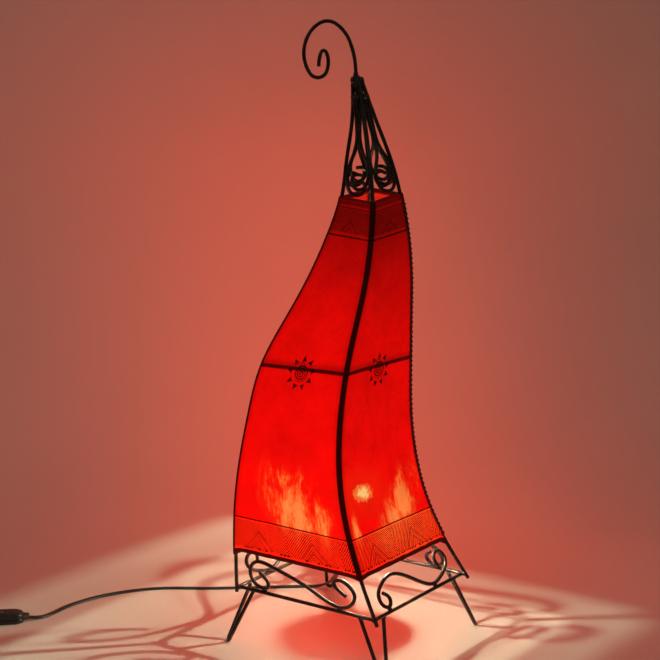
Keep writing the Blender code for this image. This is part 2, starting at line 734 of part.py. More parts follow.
def build_bulb_glass(glass):
    outer = [(radius, GLASS_Z0 + z) for radius, z in GLASS_PROFILE]
    # towards the tip the inside is lowered as well as drawn in
    inner = [(radius - GLASS_T, z if radius > 6 else z - 1.0) for radius, z in outer[:-1]]
    inner.append((0.0, outer[-1][1] - 1.2))
    profile = outer + inner[::-1]
    turned("bulb_glass", profile, glass, HOLDER_AXIS, steps=16, origin=BULB_ORIGIN)


def build_bulb_stem(glow):
    profile = (
        (0.0, GLASS_Z0 + 0.2), (5.4, GLASS_Z0 + 0.2), (5.0, GLASS_Z0 + 4.0),
        (2.4, GLASS_Z0 + 8.0), (2.0, FILAMENT_Z - 12.0), (2.8, FILAMENT_Z - 10.0),
        (0.9, FILAMENT_Z - 8.0), (0.9, FILAMENT_Z - 1.0), (1.4, FILAMENT_Z),
        (0.9, FILAMENT_Z + 1.0), (0.0, FILAMENT_Z + 1.6),
    )
    turned("bulb_stem", profile, glow, HOLDER_AXIS, steps=10, origin=BULB_ORIGIN)


# ---------------------------------------------------------------- lead
def from_lamp(points):
    return [Vector((LAMP_X + x, y, z)) for x, y, z in points]


def build_flex_lamp(cable):
    """Lead from the holder down to the floor and on to the switch."""
    rod("flex_lamp", smooth_path(from_lamp(FLEX_LAMP), step=22.0), FLEX_R, cable)


def coil_points():
    """The spare length lies in a flat coil that climbs on itself."""
    count = int(COIL_TURNS * COIL_STEPS_PER_TURN)
    points = []
    for i in range(count + 1):
        angle = math.radians(COIL_START + 360.0 * COIL_TURNS * i / count)
        lift = COIL_PITCH * COIL_TURNS * i / count
        radius = COIL_R + COIL_WOBBLE * math.sin(COIL_WOBBLE_RATE * angle)
        x, y = COIL_X + radius * math.cos(angle), COIL_Y + radius * math.sin(angle)
        points.append((x, y, COIL_Z0 + lift))
    return points


def build_flex_plug(cable):
    """Lead from the switch through the coil to the plug."""
    switch_end = SWITCH_X - SWITCH_L / 2
    coil = coil_points()
    x, y, _ = coil[-1]
    points = [
        (switch_end - 0.6, SWITCH_Y, 6.0),
        (switch_end - 10.0, SWITCH_Y + 0.3, 4.4),
        (switch_end - 26.0, SWITCH_Y + 0.4, 2.7),
        *coil,
        (x + 20.0, y - 10.0, 11.0),
        (x + 34.0, y - 34.0, 4.6),
        (x + 30.0, y - 62.0, 3.4),
        (PLUG_X + 10.0, PLUG_Y0 + 28.0, 4.6),
        (PLUG_X + 0.6, PLUG_Y0 + 10.0, 6.5),
        (PLUG_X, PLUG_Y0 + 0.9, PLUG_Z),
    ]
    rod("flex_plug", smooth_path(from_lamp(points), step=21.0), FLEX_R, cable, detail=1)


# ---------------------------------------------------------------- switch
def switch_block(name, layers, plastic):
    """Half of the switch case, its outline shrinking at the rim."""
    outlines = []
    for z, inset in layers:
        outline = rounded_box(
            LAMP_X + SWITCH_X, SWITCH_Y, SWITCH_L - 2 * inset, SWITCH_W - 2 * inset,
            radius=SWITCH_CORNER_R - inset * 0.6, steps=4,
        )
        outlines.append(at_height(outline, z))
    return finish_piece(name, layered_solid(outlines), plastic, smooth_sides=False)


def build_switch_case(plastic, steel):
    """Base and cover opened for the rocker, and two screws in the underside."""
    centre_x = LAMP_X + SWITCH_X
    base = switch_block("switch_base", SWITCH_BASE_LAYERS, plastic)
    cover = switch_block("switch_cover", SWITCH_COVER_LAYERS, plastic)
    for part, tool_name, size in (
        (cover, "cut_window", WINDOW_SIZE),
        (base, "cut_pocket", POCKET_SIZE),
    ):
        opening = rounded_box(centre_x, SWITCH_Y, *size, radius=1.0, steps=2)
        cut(part, tool_name, opening, OPENING_Z0, OPENING_Z1)

    screw = ((0.0, SCREW_Z0), (SCREW_R, SCREW_Z0), (SCREW_R, SCREW_Z1), (0.0, SCREW_Z1))
    for side, offset in (("a", -SCREW_OFFSET), ("b", SCREW_OFFSET)):
        place = (centre_x + offset, SWITCH_Y)
        hole = circle(*place, SCREW_HOLE_R, 16)
        cut(base, "cut_screw_" + side, hole, SCREW_HOLE_Z0, SCREW_HOLE_Z1)
        turned("switch_screw_" + side, screw, steel, place, steps=14)


def build_rocker(plastic):
    """Rocker on its pivot, resting with its lamp end (+X) down."""
    pivot = (LAMP_X + SWITCH_X, SWITCH_Y, ROCKER_Z)
    cos_tilt, sin_tilt = (f(math.radians(ROCKER_TILT)) for f in (math.cos, math.sin))
    sides = [
        [
            (
                pivot[0] + x * cos_tilt + z * sin_tilt,
                pivot[1] + y,
                pivot[2] - x * sin_tilt + z * cos_tilt,
            )
            for x, z in ROCKER_SIDE
        ]
        for y in (-ROCKER_HALF_W, ROCKER_HALF_W)
    ]
    finish_piece(
        "switch_rocker", layered_solid(sides), plastic, smooth_sides=False, origin=pivot
    )


# ---------------------------------------------------------------- plug
def build_plug_body(plastic):
    layers = []
    for y, half_width, half_height in PLUG_SECTIONS:
        radius = min(half_width, half_height) * 0.75
        section = rounded_box(0.0, 0.0, 2 * half_width, 2 * half_height, radius, steps=3)
        layers.append([(LAMP_X + PLUG_X + x, y, PLUG_Z + z) for x, z in section])
    finish_piece("plug_body", layered_solid(layers), plastic)


def build_plug_pins(steel):
    for side, offset in (("a", -PIN_OFFSET), ("b", PIN_OFFSET)):
        stations = (PLUG_Y1 - GAP, PLUG_Y1 - 10.0, PIN_TIP_Y)
        points = from_lamp([(PLUG_X + offset, y, PLUG_Z) for y in stations])
        rod("plug_pin_" + side, points, PIN_R, steel)


def main():
    for obj in list(bpy.data.objects):
        bpy.data.objects.remove(obj)
    mats = make_materials()

    for build in (
        build_ribs, build_rings, build_legs, build_base_scrolls, build_crown, build_finial
    ):
        build(mats["iron"])
    build_skin(mats["skin"])
    build_lacing(mats["lace"])

    build_bridge(mats["iron"])
    build_body(mats["plastic"])
    build_nuts(mats["plastic"])
    build_holder_cap(mats["plastic"])
    build_shell(mats["brass"])
    build_contact(mats["brass"])
    build_bulb_cap(mats["brass"])
    build_bulb_glass(mats["glass"])
    build_bulb_stem(mats["glow"])

    build_flex_lamp(mats["cable"])
    build_flex_plug(mats["cable"])
    build_switch_case(mats["plastic"], mats["steel"])
    build_rocker(mats["rocker"])
    build_plug_body(mats["plastic"])
    build_plug_pins(mats["steel"])


main()
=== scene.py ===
# Moroccan table lantern: a leaning, four-ribbed iron frame under a laced goatskin shade, with
# a bulb inside and a lead with switch and plug. It stands on z = 0; front is -Y, right is +X,
# and the lead runs out towards -X. Lengths are millimetres unless a comment says metres;
# meshes are scaled to metres when they are made.

import json
import math

import bpy
import numpy as np
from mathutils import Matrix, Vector, noise

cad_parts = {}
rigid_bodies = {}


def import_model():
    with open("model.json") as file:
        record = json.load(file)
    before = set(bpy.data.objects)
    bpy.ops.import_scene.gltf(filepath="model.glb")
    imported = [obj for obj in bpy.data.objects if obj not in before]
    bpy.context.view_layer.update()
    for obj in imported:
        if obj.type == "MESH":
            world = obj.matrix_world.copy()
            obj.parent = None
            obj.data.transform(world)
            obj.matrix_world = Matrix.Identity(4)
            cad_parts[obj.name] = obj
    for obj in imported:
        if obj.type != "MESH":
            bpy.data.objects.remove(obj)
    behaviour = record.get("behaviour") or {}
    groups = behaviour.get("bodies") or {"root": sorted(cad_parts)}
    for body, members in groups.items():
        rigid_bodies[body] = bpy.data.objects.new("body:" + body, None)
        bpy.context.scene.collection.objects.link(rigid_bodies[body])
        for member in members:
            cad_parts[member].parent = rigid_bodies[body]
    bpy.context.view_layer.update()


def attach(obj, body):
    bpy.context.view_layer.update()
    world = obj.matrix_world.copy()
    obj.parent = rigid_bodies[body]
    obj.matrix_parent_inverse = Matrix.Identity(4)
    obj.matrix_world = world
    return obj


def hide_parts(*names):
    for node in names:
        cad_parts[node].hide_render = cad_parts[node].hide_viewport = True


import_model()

MM = 0.001
BODY = "lantern"
SCENE = bpy.context.scene

# ------------------------------------------------------------------ the lamp's lines
LAMP_X, LAMP_Y = 208.9, 0.0
ROD_R, CROWN_R, FINIAL_R, GAP = 2.0, 1.9, 1.9, 0.3
# height, shift of the centre in x, centre to rib, twist in degrees
LEVELS = (
    (56, 2.5, 137.0, 0.0), (110, -13.5, 121.5, -0.5), (165, -24.5, 108.5, -1.5),
    (220, -27.5, 98.0, -3.0), (270, -25.0, 90.5, -3.5), (324, -17.5, 82.5, -3.5),
    (370, -5.0, 70.0, -4.5), (420, 9.0, 56.0, -5.5), (465, 17.5, 44.0, -7.0),
    (506, 21.0, 33.5, -8.5), (550, 18.0, 24.5, -9.0), (590, 13.0, 14.0, -8.5),
    (640, 4.0, 4.5, -8.0),
)
# Corner k carries rib k; face k lies between corners k and k + 1.
CORNERS = ("front", "right", "back", "left")
CORNER_ANGLE = (-90.0, 0.0, 90.0, 180.0)
FACES = ("front_right", "back_right", "back_left", "front_left")
RIB_LOW_Z, RIB_TOP_Z = 56.0, 640.0
# heights of the rings at the four corners
BASE_RING_Z = (62.0,) * 4
SHADE_BOTTOM_Z = (109.5,) * 4
MIDDLE_RING_Z = (325.0, 326.0, 321.5, 320.5)
SHADE_TOP_Z = (503.0, 510.0, 513.0, 506.0)
RING_CORNER_R = 4.0
FEET = ((8.0, -149.0), (147.0, -7.0), (0.0, 149.0), (-146.0, -9.0))  # x, y from the lamp axis
LEG_SPREAD, LEG_TOP_Z, LEG_BEND_R, FOOT_CENTRE_Z = 18.0, 57.8, 4.0, 1.6
# base scrolls: place along the face, height
SCROLL_LONG = (
    (-59.3, 84.1), (-49.6, 74.0), (-52.5, 67.6), (-60.0, 66.6), (-69.5, 70.5),
    (-73.3, 82.0), (-66.5, 93.2), (-56.4, 97.0), (-44.4, 95.6), (-11.7, 87.0),
    (10.1, 79.2), (35.3, 68.6), (49.4, 66.6), (63.5, 71.5), (71.8, 84.4),
    (66.7, 93.0), (53.6, 97.5), (46.0, 92.4), (49.8, 86.8), (59.7, 80.6),
)
SCROLL_WAVE = (
    (-58.5, 81.8), (-51.6, 74.5), (-55.0, 68.0), (-62.5, 67.0), (-68.6, 72.5),
    (-67.2, 81.4), (-56.5, 89.5), (-37.5, 95.3), (-20.8, 93.4), (-1.8, 83.8),
    (20.0, 70.6), (34.0, 66.6), (50.0, 69.2), (65.0, 74.8), (74.8, 85.0),
    (72.2, 93.6), (63.5, 96.4), (55.2, 91.0), (56.4, 80.8),
)
# crown scrolls: place along the face, height, distance out from the face
CROWN_OUTER = (
    (-2.15, 620, 3.6), (-2.15, 606, 1.2), (-2.15, 590, 0.0), (-2.2, 570, 0.4),
    (-6.5, 553, 2.2), (-12.6, 539, 2.4), (-14.2, 527, 2.4), (-9.5, 516.5, 2.4),
    (0.5, 513.0, 2.4), (10.0, 516.0, 2.4), (13.0, 523.5, 2.4), (8.0, 528.0, 2.4),
    (-3.0, 525.5, 2.4),
)
CROWN_INNER = (
    (-2.15, 620, 3.6), (-2.15, 606, 1.2), (-2.15, 590, 0.0), (-2.2, 571, -0.4),
    (-6.5, 556, -2.0), (-12.4, 543, -2.2), (-13.2, 532, -2.2), (-8.5, 522.0, -2.2),
    (0.5, 518.5, -2.2), (8.5, 521.5, -2.2), (11.0, 529.0, -2.2), (6.5, 534.0, -2.2),
    (-2.5, 534.5, -2.2),
)
CROWN_LIFT = (3.5, 8.0, 6.0, -1.0)  # raises the lower curls on each face
FINIAL_START, FINIAL_HEADING, FINIAL_FOOT_Z = (3.0, 641.0), 88.0, 604.0
FINIAL_BENDS = (  # radius, degrees turned
    (92.5, 24), (42, 34), (17, 63), (32, 27), (39.5, 68), (10.5, 125),
    (28, 42), (5.5, 38), (2.5, 99), (39, 24),
)
SKIN_IN, SKIN_T, SKIN_SAG = 2.6, 0.7, 1.2  # inner face out from the ribs, thickness, sag
SKIN_OUT = SKIN_IN + SKIN_T
SKIN_LOW_Z, SKIN_ABOVE_RING = 107.0, 1.5
HOLDER_X, HOLDER_Y = LAMP_X + 13.0, LAMP_Y
BRIDGE_Z0, BRIDGE_T, BRIDGE_W, EYE_R = 111.9, 1.5, 12.0, 21.0
BODY_Z0, BODY_Z1, BODY_R, BODY_BORE_R = 92.0, 134.0, 13.4, 8.5
CAP_Z0, CAP_Z1 = 82.0, 91.7
NUT_R_IN, NUT_R_OUT, NUT_T = 13.8, 20.0, 5.0
BULB_CAP_Z0, BULB_CAP_Z1 = 103.0, 129.0
FILAMENT_Z = 166.0
FLEX_LAMP = (  # x, y from the lamp axis and height, from the holder to the switch
    (13, 0, 88), (13, 0, 81), (9.5, 5.5, 76), (2, 24, 68), (-4, 60, 50),
    (-4, 97, 32), (-4, 127, 15), (-13, 146, 5), (-28, 152, 2.9), (-75, 158, 2.7),
    (-123, 163, 2.7), (-164, 169, 2.7), (-204, 176.5, 2.7), (-240, 175, 2.7),
    (-283, 162, 2.7), (-309, 147, 2.7), (-331, 128, 2.7), (-354, 103, 2.9),
    (-368, 96.3, 4.5), (-378.2, 95, 6.0),
)
# Switch, coil and plug: x and y from the lamp axis.
SWITCH_X0, SWITCH_X1, SWITCH_Y, SWITCH_W = -439.0, -379.0, 95.0, 22.0
SWITCH_MID_X = LAMP_X + (SWITCH_X0 + SWITCH_X1) / 2
SWITCH_MID_Y = LAMP_Y + SWITCH_Y
SWITCH_END = (SWITCH_X1 - SWITCH_X0) / 2
SCREW_X = 22.0
ROCKER_Z, ROCKER_REST = 11.5, 9.0
COIL_X, COIL_Y, COIL_R, COIL_TURNS, COIL_RISE = -513.0, 30.0, 52.0, 2.5, 3.15
PLUG_X, PLUG_Y0, PLUG_Y1, PIN_TIP_Y, PLUG_Z = -520.0, -125.0, -160.4, -179.4, 6.6


def natural_spline(knots, values):
    """A cubic curve through the knots, straight at both ends, as a function."""
    knots = np.asarray(knots, float)
    values = np.asarray(values, float)
    count = len(knots)
    gaps = np.diff(knots)
    matrix = np.zeros((count, count))
    jumps = np.zeros(count)
    matrix[0, 0] = matrix[-1, -1] = 1.0
    for i in range(1, count - 1):
        matrix[i, i - 1:i + 2] = gaps[i - 1], 2.0 * (gaps[i - 1] + gaps[i]), gaps[i]
    jumps[1:-1] = 6.0 * np.diff(np.diff(values) / gaps)
    bend = np.linalg.solve(matrix, jumps)

    def value(t):
        i = int(np.clip(np.searchsorted(knots, t) - 1, 0, count - 2))
        left, right, gap = knots[i + 1] - t, t - knots[i], gaps[i]
        return float(
            bend[i] * left**3 / (6 * gap) + bend[i + 1] * right**3 / (6 * gap)
            + (values[i] / gap - bend[i] * gap / 6) * left
            + (values[i + 1] / gap - bend[i + 1] * gap / 6) * right
        )

    return value


LEVEL_Z, LEVEL_SHIFT, LEVEL_HALF, LEVEL_TWIST = zip(*LEVELS)
centre_shift = natural_spline(LEVEL_Z, LEVEL_SHIFT)
half_diagonal = natural_spline(LEVEL_Z, LEVEL_HALF)
twist = natural_spline(LEVEL_Z, LEVEL_TWIST)


def corner(k, z, outward=0.0):
    """Centre of rib k at height z, moved outward along the diagonal."""
    angle = math.radians(CORNER_ANGLE[k % 4] + twist(z))
    reach = half_diagonal(z) + outward
    centre = LAMP_X + centre_shift(z)
    return Vector((centre + reach * math.cos(angle), LAMP_Y + reach * math.sin(angle), z))


def face_frame(k, z):
    """Middle of face k, its direction and its outward normal."""
    start, end = corner(k, z), corner(k + 1, z)
    along = (end - start).normalized()
    return (start + end) / 2, along, Vector((along.y, -along.x, 0.0))


def on_face(k, place, z, outward):
    middle, along, normal = face_frame(k, z)
    return middle + along * place + normal * outward


def dense(points, count):
    """A smooth curve through the points, cut into count steps."""
    points = [Vector(point) for point in points]
    knots = [0.0]
    for point, following in zip(points, points[1:]):
        knots.append(knots[-1] + (following - point).length ** 0.75)
    axes = [natural_spline(knots, values) for values in zip(*points)]
    return [Vector([axis(knots[-1] * i / count) for axis in axes]) for i in range(count + 1)]


def run_along(path):
    """Distance travelled at each point of a path."""
    return np.concatenate([[0], np.cumsum(np.linalg.norm(np.diff(path, axis=0), axis=1))])


def resample(points, step, cyclic=False):
    """Evenly spaced points along a polyline, as an array."""
    path = np.array([tuple(point) for point in points], float)
    if cyclic:
        path = np.vstack([path, path[:1]])
    run = run_along(path)
    count = max(2, int(round(run[-1] / step)))
    stops = np.linspace(0, run[-1], count + 1)
    even = np.stack([np.interp(stops, run, axis) for axis in path.T], axis=1)
    return even[:-1] if cyclic else even


def smoothed(path, times, cyclic=False):
    for _ in range(times):
        eased = (np.roll(path, 1, 0) + 2 * path + np.roll(path, -1, 0)) / 4
        if not cyclic:
            eased[[0, -1]] = path[[0, -1]]
        path = eased
    return path


def finial_curve():
    """The finial as a chain of arcs in x and z, from its start."""
    x, z = FINIAL_START
    heading = math.radians(FINIAL_HEADING)
    points = [Vector((x, z))]
    for radius, degrees in FINIAL_BENDS:
        count = max(2, math.ceil(degrees / 2.0))
        turn = math.radians(degrees) / count
        for _ in range(count):
            chord = 2 * radius * math.sin(turn / 2)
            x += chord * math.cos(heading + turn / 2)
            z += chord * math.sin(heading + turn / 2)
            heading += turn
            points.append(Vector((x, z)))
    return points


# ------------------------------------------------------------------ mesh helpers
def seed_of(name):
    return sum((i + 1) * ord(letter) for i, letter in enumerate(name)) % 997


def wave_noise(run, seed, length):
    """Smooth value near -1..1 along a rod, its features about length apart."""
    return (
        math.sin(run / length * 6.283 + seed)
        + 0.6 * math.sin(run / length * 13.7 + seed * 1.7)
        + 0.4 * math.sin(run / length * 25.1 + seed * 2.3)
    ) / 2.0


class Shape:
    """Points and faces gathered for one piece; faces carry a slot and a smooth flag."""

    def __init__(self):
        self.points, self.faces, self.slots, self.smooth = [], [], [], []

    def ring(self, points):
        """Adds points and returns their numbers."""
        first = len(self.points)
        self.points += [tuple(point) for point in points]
        return range(first, len(self.points))

    def face(self, numbers, smooth=True, slot=0):
        self.faces.append(tuple(numbers))
        self.slots.append(slot)
        self.smooth.append(smooth)

    def bridge(self, first, second, smooth=True, turned=False):
        """Quads between two closed rings, facing the other way if turned."""
        for i in range(len(first)):
            j = (i + 1) % len(first)
            if turned:
                self.face((first[j], first[i], second[i], second[j]), smooth)
            else:
                self.face((first[i], first[j], second[j], second[i]), smooth)

    def grid(self, columns, rows, number, smooth, turned, skip=lambda i, j: False):
        """Quads over a grid whose vertices are number(i, j)."""
        for i in range(columns - 1):
            for j in range(rows - 1):
                if skip(i, j):
                    continue
                quad = [number(i, j), number(i + 1, j), number(i + 1, j + 1), number(i, j + 1)]
                self.face(quad[:1] + quad[:0:-1] if turned else quad, smooth)


def tangents_of(path, cyclic=False):
    if cyclic:
        tangent = np.roll(path, -1, 0) - np.roll(path, 1, 0)
    else:
        tangent = np.zeros_like(path)
        tangent[1:-1] = path[2:] - path[:-2]
        tangent[0], tangent[-1] = path[1] - path[0], path[-1] - path[-2]
    return tangent / np.linalg.norm(tangent, axis=1)[:, None]


def carried(side, tangent):
    """The neighbour's side vector, made square to this tangent."""
    side = side - tangent * np.dot(side, tangent)
    return side / np.linalg.norm(side)


def sides_of(tangent, level):
    """Side vectors along a path: level everywhere, or carried on from the first."""
    if level:
        side = np.cross((0.0, 0.0, 1.0), tangent)
        return side / np.linalg.norm(side, axis=1)[:, None]
    side = np.zeros_like(tangent)
    start = tangent[0]
    helper = (0.0, 0.0, 1.0) if abs(start[2]) < 0.8 else (1.0, 0.0, 0.0)
    first = np.cross(helper, start)
    side[0] = first / np.linalg.norm(first)
    for i in range(1, len(tangent)):
        side[i] = carried(side[i - 1], tangent[i])
    return side


def tube(shape, rings, cyclic=False, floor=None):
    """Skins a row of equal rings; open ends get a flat fan."""
    points = np.concatenate(rings)
    if floor is not None:
        points[:, 2] = np.maximum(points[:, 2], floor)
    base = shape.ring(points)
    size, count = len(rings[0]), len(rings)
    numbers = [base[i * size:(i + 1) * size] for i in range(count)]
    for i in range(count if cyclic else count - 1):
        shape.bridge(numbers[i], numbers[(i + 1) % count])
    if cyclic:
        return
    for end in (0, -1):
        centre = shape.ring([np.mean(rings[end], axis=0)])[0]
        for j in range(size):
            here, following = numbers[end][j], numbers[end][(j + 1) % size]
            pair = (here, following) if end else (following, here)
            shape.face((*pair, centre), smooth=False)


def sweep(shape, path, section, cyclic=False, level=False, chamfer=0.0, floor=None):
    """Sweeps section(i, run) -> rows of (side, normal) offsets along the path."""
    path = np.asarray(path, float)
    tangent = tangents_of(path, cyclic)
    side = sides_of(tangent, level)
    normal = np.cross(tangent, side)
    run = run_along(path)
    rings = []
    for i in range(len(path)):
        offsets = section(i, run[i])
        rings.append(path[i] + offsets[:, :1] * side[i] + offsets[:, 1:2] * normal[i])

    def end_ring(ring, centre, direction):
        offset = ring - centre
        shrink = 1 - chamfer / np.abs(offset).max()
        return offset * shrink + centre + direction * chamfer * 0.7

    if chamfer and not cyclic:
        first = end_ring(rings[0], path[0], -tangent[0])
        last = end_ring(rings[-1], path[-1], tangent[-1])
        rings = [first] + rings + [last]
    tube(shape, rings, cyclic, floor)


def circle(sides):
    angles = np.linspace(0, 2 * math.pi, sides, endpoint=False)
    return np.stack([np.cos(angles), np.sin(angles)], axis=1)


def round_section(radius, sides, seed=0, rough=0.0):
    """A round section, made slightly uneven along the rod by rough."""
    unit = circle(sides)
    length = 26.0

    def section(i, run):
        size = radius * (1 + rough * wave_noise(run, seed, length))
        squash = 1 + 0.6 * rough * wave_noise(run, seed + 5, length * 0.6)
        return unit * np.array([size * squash, size / squash])

    return section


def add_object(name, data):
    obj = bpy.data.objects.new(name, data)
    SCENE.collection.objects.link(obj)
    return obj


def make(name, shape, materials, replaces=None, body=BODY):
    mesh = bpy.data.meshes.new(name)
    used = sorted({i for face in shape.faces for i in face})
    number = {old: new for new, old in enumerate(used)}
    points = np.array(shape.points, float)[used] * MM
    faces = [tuple(number[i] for i in face) for face in shape.faces]
    mesh.from_pydata(points.tolist(), [], faces)
    for material in materials:
        mesh.materials.append(material)
    mesh.polygons.foreach_set("material_index", shape.slots)
    mesh.polygons.foreach_set("use_smooth", shape.smooth)
    mesh.validate(clean_customdata=False)
    mesh.update()
    obj = add_object(name, mesh)
    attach(obj, body)
    if replaces:
        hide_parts(replaces)
    return obj


def lathe(shape, profile, steps=64, ripple=None, closed=True, centre=(HOLDER_X, HOLDER_Y)):
    """Turns (radius, z) pairs about an upright axis; ripple(angle, radius, z) adds to
    the radius. A radius of zero makes a single point."""
    rings = []
    for radius, z in profile:
        if radius < 1e-6:
            rings.append(shape.ring([(*centre, z)]))
            continue
        points = []
        for i in range(steps):
            angle = 2 * math.pi * i / steps
            reach = radius + (ripple(angle, radius, z) if ripple else 0.0)
            x, y = centre[0] + reach * math.cos(angle), centre[1] + reach * math.sin(angle)
            points.append((x, y, z))
        rings.append(shape.ring(points))
    pairs = list(zip(rings, rings[1:]))
    if closed:
        pairs.append((rings[-1], rings[0]))
    for low, high in pairs:
        if len(low) > 1 and len(high) > 1:
            shape.bridge(low, high)
        elif len(low) > 1 or len(high) > 1:
            for i in range(steps):
                j = (i + 1) % steps
                if len(low) == 1:
                    shape.face((low[0], high[j], high[i]))
                else:
                    shape.face((low[i], low[j], high[0]))


def rounded(profile, radius):
    """Softens the corners of a closed (radius, z) profile."""
    rounds = []
    count = len(profile)
    for i in range(count):
        point = np.array(profile[i], float)
        to_last = np.array(profile[i - 1], float) - point
        to_next = np.array(profile[(i + 1) % count], float) - point
        last_gap, next_gap = np.linalg.norm(to_last), np.linalg.norm(to_next)
        cut = min(radius, 0.45 * last_gap, 0.45 * next_gap)
        start, end = point + to_last / last_gap * cut, point + to_next / next_gap * cut
        for t in np.linspace(0, 1, 4):
            rounds.append(tuple((1 - t) ** 2 * start + 2 * t * (1 - t) * point + t * t * end))
    return rounds


BEADS = Shape()


def bead(centre, radii, axes=np.eye(3), seed=0, rough=0.16, rings=9, sides=14):
    """Adds a weld bead: an ellipsoid on the given axes with uneven skin."""
    centre = np.asarray(centre, float)

    def skin(tilt, turn):
        way = np.array([
            math.sin(tilt) * math.cos(turn), math.sin(tilt) * math.sin(turn), math.cos(tilt)])
        lump = 1 + rough * noise.noise(
            Vector(way * 1.9 + np.array([seed * 3.1, seed * 1.3, 0.7])))
        lump += 0.5 * rough * noise.noise(
            Vector(way * 4.3 + np.array([seed, 2.2, seed * 0.7])))
        return centre + (way * np.asarray(radii) * lump) @ axes

    points = [skin(0.0, 0.0)]
    for i in range(1, rings):
        points += [skin(math.pi * i / rings, 2 * math.pi * j / sides) for j in range(sides)]
    points.append(skin(math.pi, 0.0))
    base = BEADS.ring(points)
    last = len(points) - 1
    faces = []
    for j in range(sides):
        q = (j + 1) % sides
        faces.append((0, 1 + j, 1 + q))
        faces.append((last, last - sides + q, last - sides + j))
        for i in range(rings - 2):
            low, high = 1 + i * sides, 1 + (i + 1) * sides
            faces.append((low + j, high + j, high + q, low + q))
    mirrored = np.linalg.det(axes) < 0
    for face in faces:
        BEADS.face([base[i] for i in (face[::-1] if mirrored else face)])


# ------------------------------------------------------------------ node helpers
class Value:
    """A shader output; arithmetic on it adds Math nodes."""

    def __init__(self, look, socket):
        self.look, self.socket = look, socket

    def __add__(self, other):
        return self.look.math("ADD", self, other)

    def __radd__(self, other):
        return self.look.math("ADD", other, self)

    def __sub__(self, other):
        return self.look.math("SUBTRACT", self, other)

    def __rsub__(self, other):
        return self.look.math("SUBTRACT", other, self)

    def __mul__(self, other):
        return self.look.math("MULTIPLY", self, other)

    def __truediv__(self, other):
        return self.look.math("DIVIDE", self, other)

    def __abs__(self):
        return self.look.math("ABSOLUTE", self)

    def least(self, other):
        return self.look.math("MINIMUM", self, other)

    def most(self, other):
        return self.look.math("MAXIMUM", self, other)

    def fraction(self):
        return self.look.math("FRACT", self)

    def fade(self, over, to=(0.0, 1.0), kind="SMOOTHSTEP"):
        """Maps the range over to the range to, softly and clamped."""
        keys = ("Value", "From Min", "From Max", "To Min", "To Max")
        inputs = dict(zip(keys, (self, *over, *to)))
        return self.look.node("MapRange", "Result", inputs, interpolation_type=kind)

    def slide(self, over, to):
        """Maps one range to another in a straight line, clamped."""
        return self.fade(over, to, "LINEAR")

    def inside(self, low, high, soft=0.3):
        """1 between low and high, with soft edges."""
        rise = self.fade(over=(low - soft, low + soft))
        return rise * self.fade(over=(high - soft, high + soft), to=(1.0, 0.0))


class Look:
    """A material's node tree, with short calls for the nodes used here."""

    def __init__(self, name):
        self.material = bpy.data.materials.new(name)
        self.material.use_nodes = True
        self.tree = self.material.node_tree
        self.tree.nodes.clear()
        self.output = self.tree.nodes.new("ShaderNodeOutputMaterial").inputs["Surface"]
        self.principled = self.tree.nodes.new("ShaderNodeBsdfPrincipled")
        self.surface = Value(self, self.principled.outputs[0])
        self.put(self.output, self.surface)
        self.coord = self.node("TexCoord", "Object")

    def put(self, socket, value):
        if isinstance(value, Value):
            self.tree.links.new(value.socket, socket)
        else:
            socket.default_value = (*value, 1.0) if socket.type == "RGBA" else value

    def node(self, kind, output=0, inputs={}, **settings):
        node = self.tree.nodes.new("ShaderNode" + kind)
        for key, value in settings.items():
            setattr(node, key, value)
        for key, value in inputs.items():
            self.put(node.inputs[key], value)
        return Value(self, node.outputs[output])

    def math(self, operation, *values):
        return self.node("Math", 0, dict(enumerate(values)), operation=operation)

    def vector(self, operation, *values, output=0):
        return self.node("VectorMath", output, dict(enumerate(values)), operation=operation)

    def length(self, vector):
        """Length of a vector in metres, given in millimetres."""
        return self.vector("LENGTH", vector, output=1) * 1000.0

    def hypot(self, first, second):
        return self.math("SQRT", first * first + second * second)

    def xyz(self, vector):
        first = self.node("SeparateXYZ", 0, {0: vector})
        return [Value(self, socket) for socket in first.socket.node.outputs]

    def join(self, x, y, z):
        return self.node("CombineXYZ", 0, {0: x, 1: y, 2: z})

    def noise(self, scale, detail=3.0, rough=0.5, vector=None, distortion=0.0, output=0):
        return self.node("TexNoise", output, {
            "Vector": vector or self.coord, "Scale": scale, "Detail": detail,
            "Roughness": rough, "Distortion": distortion})

    def voronoi(self, scale, vector=None, feature="F1"):
        inputs = {"Vector": vector or self.coord, "Scale": scale}
        return self.node("TexVoronoi", "Distance", inputs, feature=feature)

    def scaled(self, x, y, z):
        return self.vector("MULTIPLY", self.coord, (x, y, z))

    def ramp(self, value, stops):
        """Colour ramp from (position, colour) stops."""
        result = self.node("ValToRGB", 0, {0: value})
        elements = result.socket.node.color_ramp.elements
        while len(elements) < len(stops):
            elements.new(0.5)
        for element, (position, colour) in zip(elements, stops):
            element.position = position
            element.color = (*colour, 1.0)
        return result

    def mix(self, share, off, on):
        """Colour off where share is 0, on where it is 1."""
        return self.node("Mix", 2, {0: share, 6: off, 7: on}, data_type="RGBA")

    def bump(self, height, distance, strength):
        inputs = {"Strength": strength, "Distance": distance * MM, "Height": height}
        return self.node("Bump", 0, inputs)

    def geometry(self, output):
        return self.node("NewGeometry", output)

    def attribute(self, name):
        return self.node("Attribute", "Vector", attribute_name=name)

    def finish(self, **inputs):
        """Sets the Principled inputs and returns the material."""
        for key, value in inputs.items():
            self.put(self.principled.inputs[key.replace("_", " ")], value)
        return self.material


